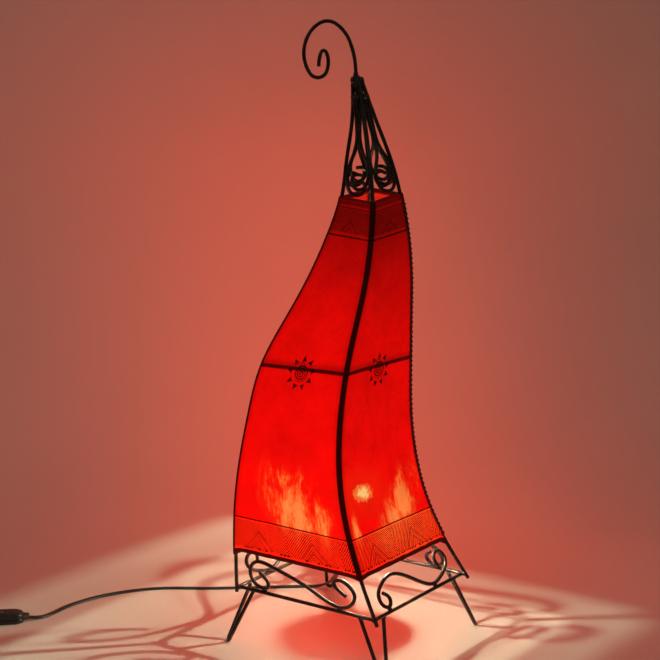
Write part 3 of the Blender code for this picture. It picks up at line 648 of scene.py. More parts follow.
# ------------------------------------------------------------------ plain materials
def iron_material(name, brown, wear, rough, lumps):
    """Dark iron: brown sets the rust, wear the scuffs, lumps the hammered relief."""
    look = Look(name)
    broad = look.noise(scale=38.0, detail=4.0, rough=0.6)
    fine = look.noise(scale=520.0, rough=0.6)
    specks = look.noise(scale=1500.0, detail=2.0, rough=0.6)
    dark = look.mix(broad.fade(over=(0.38, 0.66)), off=(0.014, 0.010, 0.008),
                    on=(0.037, 0.025, 0.018))
    rust = (fine * 0.6 + broad * 0.5).fade(over=(0.56, 0.72), to=(0.0, brown))
    colour = look.mix(rust, off=dark, on=(0.080, 0.036, 0.019))
    edges = look.geometry("Pointiness")
    worn = edges.fade(over=(0.515, 0.60)) * fine.fade(over=(0.42, 0.62))
    scratches = look.noise(scale=210.0, detail=4.0, rough=0.7, vector=look.scaled(1.0, 1.0, 0.45))
    scuffs = scratches.fade(over=(0.60, 0.70), to=(0.0, wear))
    colour = look.mix((worn * 0.5).most(scuffs * 0.42), off=colour, on=(0.20, 0.155, 0.125))
    roughness = fine.slide(over=(0.3, 0.7), to=(rough - 0.09, rough + 0.12)) + rust * 0.25
    height = fine * 0.7 + specks * 0.25 + look.voronoi(scale=260.0) * lumps
    return look.finish(
        Base_Color=colour, Metallic=rust.slide(over=(0.0, 0.5), to=(0.82, 0.35)),
        Roughness=roughness - scuffs * 0.10, Coat_Weight=0.28, Coat_Roughness=0.20,
        Coat_IOR=1.7, Normal=look.bump(height, distance=0.12, strength=0.45),
    )


def plastic_material(name, colour, rough, grain, coat=0.0):
    """Dusty moulded plastic with a fine grain, grain mm high."""
    look = Look(name)
    cloud = look.noise(scale=60.0)
    fine = look.noise(scale=2600.0, detail=2.0)
    dust = look.noise(scale=900.0, rough=0.7).fade(over=(0.63, 0.74), to=(0.0, 0.16))
    pale = tuple(part * 1.5 for part in colour)
    colour = look.mix(cloud.fade(over=(0.35, 0.7)), off=colour, on=pale)
    return look.finish(
        Base_Color=look.mix(dust, off=colour, on=(0.16, 0.14, 0.12)),
        Roughness=(cloud + fine * 0.3).slide(over=(0.4, 0.9), to=(rough - 0.06, rough + 0.12)),
        Coat_Weight=coat, Normal=look.bump(fine, distance=grain, strength=0.6),
    )


def metal_material(name, colour, tarnish, rough):
    """Turned metal, tarnished in clouds."""
    look = Look(name)
    cloud = look.noise(scale=110.0, detail=4.0, rough=0.6)
    turned = look.noise(scale=420.0, detail=2.0, vector=look.scaled(0.4, 0.4, 6.0))
    uneven = cloud * 0.5 + turned * 0.5
    return look.finish(
        Base_Color=look.mix(cloud.fade(over=(0.42, 0.72), to=(0.0, 0.75)), off=colour, on=tarnish),
        Metallic=1.0, Roughness=uneven.slide(over=(0.3, 0.7), to=(rough - 0.07, rough + 0.12)),
        Normal=look.bump(turned, distance=0.03, strength=0.5),
    )


def cable_material():
    look = Look("cable_sheath_look")
    cloud = look.noise(scale=45.0)
    fine = look.noise(scale=1700.0, detail=2.0, rough=0.6)
    scuff = look.noise(scale=260.0, detail=4.0, rough=0.7).fade(over=(0.58, 0.70), to=(0.0, 0.4))
    colour = look.mix(cloud.fade(over=(0.35, 0.7)), off=(0.013, 0.012, 0.012),
                      on=(0.026, 0.023, 0.021))
    return look.finish(
        Base_Color=look.mix(scuff, off=colour, on=(0.075, 0.062, 0.055)),
        Roughness=0.34 + scuff * 0.35, Normal=look.bump(fine, distance=0.05, strength=0.5),
        Coat_Weight=0.12, Coat_Roughness=0.3,
    )


def lace_material():
    look = Look("skin_lace_look")
    strands = look.noise(scale=900.0, rough=0.6, vector=look.scaled(1.0, 1.0, 0.35))
    cloud = look.noise(scale=120.0, rough=0.6)
    colour = look.mix(cloud.fade(over=(0.35, 0.7)), off=(0.050, 0.006, 0.004),
                      on=(0.115, 0.012, 0.007))
    light = strands.fade(over=(0.56, 0.7), to=(0.0, 0.5))
    return look.finish(
        Base_Color=look.mix(light, off=colour, on=(0.19, 0.035, 0.02)),
        Roughness=strands.slide(over=(0.3, 0.7), to=(0.42, 0.68)),
        Normal=look.bump(strands, distance=0.18, strength=0.7), Sheen_Weight=0.2,
    )


def glass_material(name):
    look = Look(name)
    ripple = look.noise(scale=140.0, detail=2.0)
    dust = look.noise(scale=420.0, detail=4.0, rough=0.7)
    return look.finish(
        Base_Color=(0.97, 0.96, 0.93), Roughness=dust.slide(over=(0.60, 0.75), to=(0.02, 0.10)),
        Transmission_Weight=1.0, IOR=1.47,
        Normal=look.bump(ripple, distance=0.10, strength=0.25),
    )


def filament_material():
    look = Look("filament_look")
    flicker = look.noise(scale=900.0, detail=2.0).slide(over=(0.3, 0.7), to=(0.85, 1.1))
    return look.finish(
        Base_Color=(0.35, 0.30, 0.24), Roughness=0.35, Metallic=0.6,
        Emission_Color=(1.0, 0.72, 0.40), Emission_Strength=flicker * 60.0,
    )


def floor_material():
    look = Look("pale_floor")
    cloud = look.noise(scale=2.2)
    fine = look.noise(scale=260.0, rough=0.6)
    colour = look.mix(cloud.fade(over=(0.35, 0.65)), off=(0.66, 0.63, 0.60),
                      on=(0.70, 0.675, 0.645))
    material = look.finish(
        Base_Color=colour, Roughness=fine.slide(over=(0.3, 0.7), to=(0.62, 0.74)),
        Normal=look.bump(fine, distance=0.04, strength=0.3), Specular_IOR_Level=0.25)
    # Open from behind and from below, so that the lamp shows from every side.
    back, clear = look.geometry("Backfacing"), look.node("BsdfTransparent")
    look.put(look.output, look.node("MixShader", 0, {0: back, 1: look.surface, 2: clear}))
    return material


# ------------------------------------------------------------------ goatskin material
BULB = (HOLDER_X * MM, HOLDER_Y * MM, FILAMENT_Z * MM)  # metres
LOW_BAND, TOP_BAND, TOP_BORDER = 40.0, 39.5, 9.5  # henna bands, from the skin's edges
SKIN_LEVEL = (  # share of 520 mm of height, brightness of the lit skin
    (0.0, 1.04), (0.30, 1.03), (0.40, 0.97), (0.52, 0.85), (0.68, 0.72),
    (0.78, 0.55), (0.86, 0.37), (0.92, 0.25), (1.0, 0.18),
)
SKIN_GLOW = (  # warmth, colour of the light coming through
    (0.0, (1.0, 0.0015, 0.0006)), (0.22, (1.0, 0.016, 0.002)), (0.5, (1.05, 0.11, 0.016)),
    (0.75, (1.1, 0.25, 0.055)), (1.0, (1.2, 0.70, 0.22)),
)
ON_OFF = (1.0, 0.0)


class Sheet:
    """Where a point lies on the shade, in mm, with the textures its parts share."""

    def __init__(self, look):
        self.look = look
        self.across, self.half, self.face = look.xyz(look.attribute("face_place"))
        self.up, self.down, self.ring_up = look.xyz(look.attribute("row_place"))
        self.z = look.xyz(look.coord)[2] * 1000.0
        self.edge = self.half - abs(self.across)
        self.flat = look.join(self.across, self.z, self.face * 137.0)
        self.cloud = self.noise(scale=0.018, detail=4.0, rough=0.6)
        self.mottled = self.noise(scale=0.075, detail=5.0, rough=0.62, distortion=0.6)
        # unsteadiness of the brush, across and up
        sway = look.xyz(self.noise(scale=0.10, rough=0.6, output=1))
        self.sway_x, self.sway_z = (sway[0] - 0.5) * 2.6, (sway[1] - 0.5) * 2.2
        self.drawn_up = self.up + self.sway_z

    def noise(self, **settings):
        return self.look.noise(vector=self.flat, **settings)

    def speckled(self, value, amount):
        """The value, moved to and fro by the mottling."""
        return value + (self.mottled - 0.5) * amount


def line_mask(value, width):
    """1 on lines where value is whole; width is a share of the spacing."""
    distance = 0.5 - abs(value.fraction() - 0.5)
    return distance.fade(over=(width, width + 0.14), to=ON_OFF)


def chevrons(v, across, thick, height, repeat, pitch, slope):
    """Nested peaks: v from the lower edge, across from a peak, peaks repeat apart."""
    peak = abs((across / repeat + 0.5).fraction() * repeat - repeat * 0.5)
    rising = v + peak * slope
    lines = line_mask(rising / pitch, 0.155 + thick)
    falling = v - peak * slope
    dashes = line_mask(falling / (pitch * 0.70), 0.20 + thick)
    first = rising.inside(height - 3.6 * pitch, height - 2.4 * pitch, soft=0.25)
    second = rising.inside(height - 6.6 * pitch, height - 5.4 * pitch, soft=0.25)
    rows = first.most(second * 0.9)
    return (lines * (1.0 - rows * 0.3)).most(rows * dashes)


def henna_sun(sheet, across, thick):
    """Sun on the middle ring: a spiral, a small ring beside it, a circle of wedges."""
    look = sheet.look
    x = across - sheet.half * -0.02
    z = sheet.ring_up + sheet.sway_z + 4.2
    radius = look.hypot(x, z)
    angle = look.math("ARCTAN2", z, x)
    spiral = line_mask(radius / 2.95 + angle / 6.2832, 0.20 + thick)
    spiral = spiral * radius.fade(over=(9.2, 9.7), to=ON_OFF)
    beside = look.hypot(x + 1.6, z - 8.6)
    small = beside.inside(2.9, 3.9).most(beside.fade(over=(0.9, 1.5), to=ON_OFF))
    ninth = 0.6981  # radians from wedge to wedge
    part = ((angle / ninth + 0.2).fraction() - 0.5) * ninth
    width = radius.slide(over=(12.9, 19.9), to=(3.3, 0.0))
    wedge = (width - abs(part * radius)).fade(over=(-0.25, 0.35)) * radius.inside(13.1, 19.6)
    return spiral.most(small).most(wedge)


def henna_drawing(sheet):
    """1 where the skin is painted."""
    up, half, sway_z = sheet.drawn_up, sheet.half, sheet.sway_z
    across, down = sheet.across + sheet.sway_x, sheet.down + sway_z
    thick = sheet.noise(scale=0.16, rough=0.6).slide(over=(0.3, 0.7), to=(-0.035, 0.045))
    broken = sheet.noise(scale=0.30, rough=0.7).fade(over=(0.30, 0.42))

    # lower band, two peaks to a face, over a row of dashes
    peaks = chevrons(up, across - half * -0.56, thick, height=37.0, repeat=half * 0.92,
                     pitch=3.25, slope=1.08)
    low_line = (up + sway_z * -0.5).inside(LOW_BAND - 0.85, LOW_BAND + 0.85)
    dash = ((across + sway_z * 2.0) / 5.2).fraction().fade(over=(0.20, 0.30))
    dashes = up.inside(5.6, 7.8, soft=0.35) * dash
    dashes = dashes * sheet.noise(scale=0.22, detail=2.0).fade(over=(0.40, 0.52))
    henna = (peaks * (up.inside(7.0, LOW_BAND - 1.9) * 0.95)).most(dashes)
    henna = henna.most(low_line * 0.95)

    # upper band, one peak to a face, under a dashed border
    peaks = chevrons(TOP_BAND - down, across - half * -0.05, thick, height=25.0,
                     repeat=half * 2.0, pitch=2.55, slope=1.05)
    top_line = down.inside(TOP_BAND - 0.8, TOP_BAND + 1.0)
    border = down.inside(TOP_BORDER - 1.2, TOP_BORDER + 0.5)
    border = border * (across / 2.6).fraction().fade(over=(0.2, 0.34))
    henna = henna.most(peaks * down.inside(TOP_BORDER + 1.2, TOP_BAND - 4.0) * 0.95)
    henna = henna.most((top_line * 0.95).most(border * 0.9))

    henna = henna.most(henna_sun(sheet, across, thick) * 0.97)
    return henna * (0.78 + broken * 0.22)


def skin_brightness(sheet, vein):
    """How strongly the skin without henna glows, as painted light, before the rods' painted
    shadows.
    """
    stops = [(share, (level,) * 3) for share, level in SKIN_LEVEL]
    level = sheet.look.xyz(sheet.look.ramp(sheet.z / 520.0, stops))[0]
    # Painted shade: some faces glow less than others, as if turned away from the bulb.
    side = sheet.look.math("SINE", sheet.face * 1.5708 + 0.6)
    level = level * side.slide(over=(-1.0, 1.0), to=(1.0, 0.80))
    level = level * sheet.cloud.slide(over=(0.3, 0.7), to=(0.84, 1.12))
    level = level * sheet.mottled.slide(over=(0.3, 0.72), to=(0.93, 1.06))
    return level * (1.0 - vein * sheet.cloud.slide(over=(0.45, 0.7), to=(0.02, 0.10)))


def rod_shadows(sheet):
    """Painted light left beside the painted shadows of the rods and seam, and the painted shade of
    the ribs, seam and lower ring that also darkens the skin's colour.
    """
    face, across, edge, ring_up = sheet.face, sheet.across, sheet.edge, sheet.ring_up
    rib_dark = sheet.speckled(edge, 0.6).fade(over=(0.7, 1.9), to=(0.985, 0.0))
    rib_soft = edge.slide(over=(0.5, 8.0), to=(0.30, 0.0))
    # The seam's painted shade: two thicknesses under the lace, on both sides of the right rib.
    first = face.fade(over=(0.4, 0.6), to=ON_OFF) * across.fade(over=(0.0, 1.0))
    second = face.inside(0.6, 1.4, soft=0.1) * across.fade(over=(-1.0, 0.0), to=ON_OFF)
    seam = sheet.speckled(edge, 2.0).fade(over=(2.6, 4.2), to=(0.90, 0.0))
    seam = first.most(second) * seam
    ring_core = abs(ring_up - 0.4).fade(over=(1.3, 3.0), to=ON_OFF) * 0.95
    ring_soft = ring_up.inside(0.5, 7.0, soft=3.0) * 0.36
    top_core = abs(sheet.down - 3.6).fade(over=(1.2, 3.0), to=ON_OFF) * 0.65
    low_core = sheet.speckled(sheet.up, 2.2).fade(over=(3.4, 4.9), to=ON_OFF) * 0.97
    hem = sheet.down.fade(over=(0.6, 1.6), to=(0.80, 0.0))
    block = rib_dark.most(seam).most(ring_core).most(top_core.most(low_core.most(hem)))
    clear = (1.0 - block) * ((1.0 - rib_soft) * (1.0 - ring_soft))
    return clear, rib_dark.most(seam).most(low_core)


def bulb_through_skin(sheet, to_bulb):
    """Painted light from the bulb: pale streaks in patches near it, and the bulb's own core and
    halo seen through the skin.
    """
    look, face, across, z = sheet.look, sheet.face, sheet.across, sheet.z
    share = (across + sheet.half) / (sheet.half * 2.0)
    right = face.fade(over=(0.4, 0.6), to=ON_OFF)  # the front right face
    rise = z - 145.0
    middle = right * (0.55 + rise * 0.0060) + (1.0 - right) * (0.655 - rise * 0.0030)
    patch_z = (z - 160.0) / z.fade(over=(152.0, 168.0), to=(46.0, 66.0))
    patch = 1.0 - look.hypot((share - middle) / (0.33 + right * -0.06), patch_z)
    # a second painted light patch low by the front rib
    by_rib = look.hypot((share - 0.075) / 0.07, (z - 152.0) / 30.0)
    patch = patch.most(right * (2.0 - by_rib) - 1.0)
    streak_place = look.join((across + sheet.sway_x * 1.5) * 0.046, z * 0.019, face * 7.3)
    streaks = look.noise(scale=1.0, detail=5.0, rough=0.62, vector=streak_place, distortion=0.4)
    fleck_place = look.join(across * 0.42, z * 0.10, face * 3.3)
    flecks = look.noise(scale=1.0, detail=4.0, rough=0.7, vector=fleck_place, distortion=0.4)
    painted_bulb_patch = patch * 0.62 + ((streaks - 0.5) * 1.9 + (flecks - 0.5) * 0.9)
    painted_bulb_patch = painted_bulb_patch.fade(over=(-0.10, 0.62)) * patch.fade(over=(-0.30, 0.25))
    painted_bulb_patch = painted_bulb_patch * sheet.edge.fade(over=(2.0, 7.0))

    # miss: how far the line of sight passes from the filament
    miss = look.length(look.vector("CROSS_PRODUCT", to_bulb, look.geometry("Incoming")))
    blotch = sheet.noise(scale=0.16, detail=4.0, rough=0.68, distortion=0.6)
    miss = miss + ((flecks - 0.5) * 6.0 + (blotch - 0.5) * 15.0)
    core = miss.fade(over=(8.5, 12.5), to=ON_OFF) * 0.55
    core = core + miss.fade(over=(2.0, 9.0), to=ON_OFF) * 0.45
    return painted_bulb_patch, core, miss.fade(over=(8.0, 42.0), to=ON_OFF)


def skin_material(name, outer):
    """Translucent dyed goatskin with its drawn henna; the bulb's light through it is painted as
    emission.
    """
    look = Look(name)
    sheet = Sheet(look)
    warp = look.node("VectorMath", 0, operation="SCALE", inputs={
        0: sheet.noise(scale=0.05, rough=0.6, output=1), "Scale": 16.0})
    veins = look.voronoi(scale=0.055, vector=look.vector("ADD", sheet.flat, warp),
                         feature="DISTANCE_TO_EDGE")
    vein = veins.fade(over=(0.0, 0.06), to=ON_OFF)
    pores = look.voronoi(scale=0.95, vector=sheet.flat)
    grain = sheet.noise(scale=0.55, detail=4.0, rough=0.65)
    henna = henna_drawing(sheet)
    if not outer:
        henna = henna * 0.25

    to_bulb = look.vector("SUBTRACT", look.coord, BULB)
    clear, dark = rod_shadows(sheet)
    level = skin_brightness(sheet, vein) * clear
    painted_bulb_patch, core, halo = bulb_through_skin(sheet, to_bulb)

    # The lower henna band warms by its distance from the bulb.
    warm = (painted_bulb_patch * 0.72 + halo * 0.14 + core * 0.95).least(1.0)
    band = sheet.drawn_up.fade(over=(LOW_BAND - 1.5, LOW_BAND + 1.5), to=ON_OFF)
    band_warm = look.length(to_bulb).fade(over=(70.0, 130.0), to=(0.34, 0.15)) + painted_bulb_patch * 0.16
    warm = warm * (1.0 - band) + band_warm.most(core * 0.8).least(1.0) * band
    strength = level * (1.0 - henna * 0.96)
    strength = strength * (1.0 + band * 0.42 if outer else 0.9)

    base = look.mix(sheet.mottled.fade(over=(0.3, 0.7)), off=(0.19, 0.0035, 0.0025),
                    on=(0.27, 0.006, 0.004))
    if not outer:
        base = look.mix(0.75, off=base, on=(0.78, 0.045, 0.02))
    # Painted light patch near the bulb, paling the skin's colour.
    base = look.mix(painted_bulb_patch * 0.35, off=base, on=(0.62, 0.10, 0.03))
    base = look.mix(henna * 0.92, off=base, on=(0.018, 0.008, 0.006))
    # Painted shadow of the ribs, the seam and the lower ring, darkening the skin's colour.
    base = look.mix(dark * 0.80, off=base, on=(0.022, 0.003, 0.0025))
    height = grain * 0.5 + pores * 0.35 + vein * 0.35 + sheet.mottled * 0.8 + henna * 0.10
    # The emission is painted light: the glow of the bulb seen through the skin.
    return look.finish(
        Base_Color=base,
        Roughness=grain.slide(over=(0.3, 0.7), to=(0.50, 0.66)) + henna * 0.18,
        Normal=look.bump(height, distance=0.28, strength=0.55),
        Emission_Color=look.ramp(warm, SKIN_GLOW), Emission_Strength=strength,
        Specular_IOR_Level=0.10,
    )


IRON = iron_material("wrought_iron_look", brown=0.28, wear=0.5, rough=0.32, lumps=0.22)
WELD = iron_material("weld_iron_look", brown=0.6, wear=0.35, rough=0.46, lumps=0.5)
SKIN = skin_material("dyed_goatskin_look", outer=True)
SKIN_BACK = skin_material("goatskin_inside_look", outer=False)
LACE = lace_material()
BLACK = plastic_material(
    "black_plastic_look", colour=(0.014, 0.013, 0.013), rough=0.40, grain=0.06)
COLLAR = plastic_material(
    "switch_collar_look", colour=(0.040, 0.022, 0.017), rough=0.46, grain=0.05)
ROCKER = plastic_material(
    "rocker_plastic_look", colour=(0.022, 0.020, 0.020), rough=0.26, grain=0.015, coat=0.35)
BRASS = metal_material(
    "brass_look", colour=(0.66, 0.45, 0.19), tarnish=(0.28, 0.16, 0.07), rough=0.30)
STEEL = metal_material(
    "plated_steel_look", colour=(0.62, 0.60, 0.57), tarnish=(0.36, 0.34, 0.31), rough=0.24)
CABLE = cable_material()
GLASS = glass_material("bulb_glass_look")
STEM = glass_material("stem_glass_look")
FILAMENT = filament_material()
SUPPORT = metal_material(
    "support_wire_look", colour=(0.50, 0.48, 0.45), tarnish=(0.25, 0.23, 0.22), rough=0.35)


# ------------------------------------------------------------------ iron frame
def iron_piece(name, path, radius, cyclic=False, floor=None, rough=0.035, sides=18):
    shape = Shape()
    section = round_section(radius * 1.07, sides, seed_of(name), rough)
    sweep(shape, path, section, cyclic=cyclic, level=cyclic, chamfer=0.35, floor=floor)
    make(name + "_rod", shape, [IRON], replaces=name)


def ring_path(zs, arc=8):
    """A ring inside the ribs at the corner heights zs, with rounded corners."""
    tips = []
    for k in range(4):
        here, above = corner(k, zs[k]), corner(k, zs[k] + 2.0)
        run = math.hypot(above.x - here.x, above.y - here.y)
        lean = math.cos(math.atan2(run, 2.0))
        inset = (2 * ROD_R + GAP) / lean - (math.sqrt(2) - 1) * RING_CORNER_R
        tips.append(corner(k, zs[k], -inset + 0.2))
    path = []
    for k, tip in enumerate(tips):
        start = tip + (tips[k - 1] - tip).normalized() * RING_CORNER_R
        end = tip + (tips[(k + 1) % 4] - tip).normalized() * RING_CORNER_R
        to_middle = (start + end) / 2 - tip
        centre = tip + to_middle * (RING_CORNER_R * math.sqrt(2)) / to_middle.length
        for i in range(arc + 1):
            spoke = start.lerp(end, i / arc) - centre
            path.append(centre + spoke.normalized() * (start - centre).length)
    return path


def corner_axes(k, z):
    """Along the diagonal, across it, and up."""
    angle = math.radians(CORNER_ANGLE[k] + twist(z))
    x, y = math.cos(angle), math.sin(angle)
    return np.array([[x, y, 0.0], [-y, x, 0.0], [0.0, 0.0, 1.0]])


def face_axes(k, z):
    _, along, outward = face_frame(k, z)
    return np.array([tuple(along), tuple(outward), (0.0, 0.0, 1.0)])


def build_ribs():
    for k, side in enumerate(CORNERS):
        fine = [corner(k, float(z)) for z in np.linspace(RIB_LOW_Z, RIB_TOP_Z, 400)]
        iron_piece("rib_" + side, resample(fine, 3.0), ROD_R)


def build_rings():
    for name, zs in (
        ("base_ring", BASE_RING_Z), ("shade_ring_bottom", SHADE_BOTTOM_Z),
        ("shade_ring_middle", MIDDLE_RING_Z), ("shade_ring_top", SHADE_TOP_Z),
    ):
        path = smoothed(resample(ring_path(zs), 1.6, True), 2, True)
        iron_piece(name, path, ROD_R, cyclic=True)
        base = name == "base_ring"
        for k, z in enumerate(zs):
            axes = corner_axes(k, z)
            centre = np.array(corner(k, z, -2.0))
            radii = (2.5, 3.7, 3.0) if base else (2.0, 3.1, 2.7)
            bead(centre, radii, axes, seed=k * 3 + seed_of(name) % 11)
            for sign in (-1, 1) if base else ():
                beside = centre + axes[1] * sign * 2.4 + axes[2] * 0.9
                bead(beside, (1.5, 1.9, 1.5), axes, seed=k + sign * 4 + 9)


def build_legs():
    """Each leg is a V from the base ring down to a rounded foot."""
    tips = [corner(k, BASE_RING_Z[k], -(2 * ROD_R + GAP)) for k in range(4)]
    for k, tip in enumerate(tips):
        ends = []
        for other in (tips[k - 1], tips[(k + 1) % 4]):
            end = tip + (other - tip).normalized() * LEG_SPREAD
            ends.append(Vector((end.x, end.y, LEG_TOP_Z + 0.6)))
        foot = Vector((LAMP_X + FEET[k][0], LAMP_Y + FEET[k][1], FOOT_CENTRE_Z))
        first, second = [(end - foot).normalized() for end in ends]
        axis = (first + second).normalized()
        across = (first - second).normalized()
        centre = foot + axis * LEG_BEND_R
        turn = math.pi - 2 * first.angle(axis)
        path = [ends[0]]
        for i in range(25):
            angle = -turn / 2 + turn * i / 24
            down = axis * (LEG_BEND_R * math.cos(angle))
            path.append(centre - down - across * (LEG_BEND_R * math.sin(angle)))
        path.append(ends[1])
        iron_piece("leg_" + CORNERS[k], smoothed(resample(path, 1.2), 4), ROD_R, floor=0.0)
        for end in ends:
            along = np.array((end - foot).normalized())
            across = np.array((ends[0] - ends[1]).normalized())
            square = np.cross(along, across)
            axes = np.array([along, across, square / np.linalg.norm(square)])
            bead((end.x, end.y, 59.3), (2.3, 3.0, 2.5), axes, seed=k * 5 + int(end.x) % 7)


def build_base_scrolls():
    inward = -(2 * ROD_R + GAP) / math.sqrt(2)
    outlines = (SCROLL_WAVE, SCROLL_LONG, SCROLL_WAVE, SCROLL_LONG)
    for k, side in enumerate(FACES):
        flat = dense(outlines[k], 700)
        path = resample([on_face(k, point.x, point.y, inward) for point in flat], 1.3)
        iron_piece("base_scroll_" + side, path, ROD_R, rough=0.045)
        # a bead where the scroll touches the ring below
        for i in range(1, len(flat) - 1):
            z = flat[i].y
            if z < flat[i - 1].y and z <= flat[i + 1].y and z < 68.5:
                touch = on_face(k, flat[i].x, 64.2, inward)
                bead(touch, (3.6, 2.0, 1.7), face_axes(k, 64.2), seed=i % 17)


def build_crown():
    for k, side in enumerate(FACES):
        for outline, hand, sign in ((CROWN_OUTER, "a", 1.0), (CROWN_INNER, "b", -1.0)):
            path = []
            for point in dense(outline, 500):
                share = min(1.0, max(0.0, (566.0 - point.y) / 36.0))
                z = point.y + CROWN_LIFT[k] * share
                path.append(on_face(k, sign * point.x, z, point.z))
            iron_piece("crown_scroll_" + side + "_" + hand, resample(path, 1.4), CROWN_R,
                       rough=0.05, sides=16)
            # top end of each wire, welded to the bundle
            bead(path[4], (2.5, 2.3, 2.9), face_axes(k, 618.0),
                 seed=k * 2 + int(sign) + 21, rough=0.22)
        # along the pair
        for z in (604.0, 583.0):
            bead(on_face(k, 0.0, z, 0.2), (2.6, 1.7, 2.6), face_axes(k, z),
                 seed=k + int(z) % 13, rough=0.2)


def build_finial():
    lead_in = dense([(centre_shift(z), z) for z in (FINIAL_FOOT_Z, 622.0)] + [FINIAL_START], 60)
    path = lead_in[:-1] + finial_curve()
    points = [Vector((LAMP_X + point.x, LAMP_Y, point.y)) for point in path]
    iron_piece("finial_scroll", smoothed(resample(points, 1.3), 3), FINIAL_R, rough=0.05)
    # the weld filling the bundle of ribs: height, share of the bundle's half width
    filling = ((637.0, 0.95), (631.5, 0.90), (626.0, 0.80), (620.0, 0.62), (614.0, 0.5))
    for i, (z, share) in enumerate(filling):
        wide = half_diagonal(z) * share
        bead((LAMP_X + centre_shift(z), LAMP_Y, z), (wide, wide, 5.6), corner_axes(0, z),
             seed=60 + i, rough=0.22, rings=10, sides=18)
    x = LAMP_X + centre_shift(636.0)
    bead((x - 0.3, LAMP_Y, 635.5), (4.9, 4.9, 6.0), seed=3, rough=0.2, rings=14, sides=22)
    bead((x - 1.5, LAMP_Y + 0.6, 640.4), (3.7, 3.6, 3.8), seed=8, rough=0.25, rings=12, sides=18)
    bead((LAMP_X + 3.0, LAMP_Y, 643.6), (2.7, 2.7, 3.4), seed=5, rough=0.18)
    for k in range(4):
        bead(corner(k, 637.0), (2.7, 2.7, 3.6), seed=30 + k, rough=0.2)


# ------------------------------------------------------------------ goatskin shade
STITCH_PITCH = 5.6
STITCH_LOW, STITCH_HIGH = 114.0, 506.0
TAB = (1.2, 6.0, 3.0, 5.0)  # how far the lower edge hangs down at each corner
FACE_COLUMNS, ARC_COLUMNS, SHADE_ROWS = 36, 6, 210
# hems, from the skin's edge: outward offset, height towards the skin's middle
HEM_OUT = (
    (-0.45, -0.8), (-1.7, -1.25), (-3.6, -1.3), (-5.6, -1.15), (-7.4, -0.9), (-8.7, -0.1),
    (-9.4, 1.3), (-9.6, 3.2),
)
HEM_IN = (
    (-8.9, 3.1), (-8.7, 1.5), (-8.1, 0.5), (-7.1, -0.2), (-5.5, -0.45), (-3.6, -0.6),
    (-1.9, -0.55), (-1.05, -0.2),
)


def between(values, k, share):
    """A corner value carried across face k."""
    return values[k] * (1 - share) + values[(k + 1) % 4] * share


def shade_columns(zs):
    """Columns round the skin at the corner heights zs: rib-plane point, outward
    direction, (face, place, half width) as seen from the face before and the face
    after, k, share of face k crossed, distance from the nearest rib."""
    ribs = [corner(k, zs[k]) for k in range(4)]
    sides = [ribs[(k + 1) % 4] - ribs[k] for k in range(4)]
    halves = [side.length / 2 for side in sides]
    facing = [math.atan2(-side.x, side.y) for side in sides]
    columns = []
    for k in range(4):
        start, end, half = facing[k - 1], facing[k], halves[k]
        if end < start:
            end += 2 * math.pi
        for i in range(ARC_COLUMNS + 1):
            angle = start + (end - start) * i / ARC_COLUMNS
            outward = Vector((math.cos(angle), math.sin(angle), 0))
            before = (k - 1) % 4, halves[k - 1] + SKIN_OUT * (angle - start), halves[k - 1]
            after = k, -half - SKIN_OUT * (end - angle), half
            columns.append((ribs[k], outward, before, after, k, 0.0, 0.0))
        outward = Vector((math.cos(end), math.sin(end), 0))
        for i in range(1, FACE_COLUMNS):
            share = i / FACE_COLUMNS
            point = ribs[k].lerp(ribs[(k + 1) % 4], share)
            here = k, (2 * share - 1) * half, half
            away = min(share, 1 - share) * 2 * half
            columns.append((point, outward, here, here, k, share, away))
    return columns


def skin_relief(column, up, down):
    """Unevenness of the skin, outward."""
    point, _, before, _, k, share, away = column
    z, place = point.z, before[1]
    flat = 1 if share else 0
    spot = Vector((point.x * 0.016, point.y * 0.016, z * 0.011))
    ease = min(1.0, away / 14.0) * min(1.0, up / 8.0, down / 8.0)
    relief = 0.55 * noise.noise(spot) * ease + 0.16 * noise.noise(spot * 4.1) * ease
    # small gathers at both hems and at the laced corner
    relief += 0.22 * math.sin(place * 1.05 + k) * math.exp(-up / 5.0) * flat
    relief += 0.16 * math.sin(place * 1.3 + 2 * k) * math.exp(-down / 5.0) * flat
    if (k == 0 and share > 0.5) or (k == 1 and share < 0.5):
        pucker = 1 + math.cos(2 * math.pi * (z - STITCH_LOW) / STITCH_PITCH)
        nearness = math.exp(-((away - 3.0) / 3.0) ** 2)
        relief -= 0.20 * pucker * nearness * (1 if share else 0.3)
    return relief


def shade_row(v):
    """Outer and inner points of one row, and each column's place on the skin:
    before, after, distance above the lower edge, below the upper edge, above the
    middle ring, outward direction, distance from the nearest rib."""
    zs = [SKIN_LOW_Z + v * (top + SKIN_ABOVE_RING - SKIN_LOW_Z) for top in SHADE_TOP_Z]
    outer, inner, places = [], [], []
    for column in shade_columns(zs):
        point, outward, before, after, k, share, away = column
        z = point.z
        up = z - SKIN_LOW_Z
        down = between(SHADE_TOP_Z, k, share) + SKIN_ABOVE_RING - z
        sag = SKIN_SAG * math.sin(math.pi * share) * math.sin(math.pi * v) ** 0.5
        offset = SKIN_OUT - sag + skin_relief(column, up, down)
        tab = TAB[k] if share < 0.5 else TAB[(k + 1) % 4]
        drop = tab * math.exp(-((away / 6.5) ** 2)) * max(0.0, 1 - up / 9.0) ** 1.5
        place = Vector((point.x, point.y, z - drop))
        outer.append(place + outward * offset)
        inner.append(place + outward * (offset - SKIN_T))
        ring_up = z - between(MIDDLE_RING_Z, k, share)
        places.append((before, after, up, down, ring_up, outward, away))
    return outer, inner, places


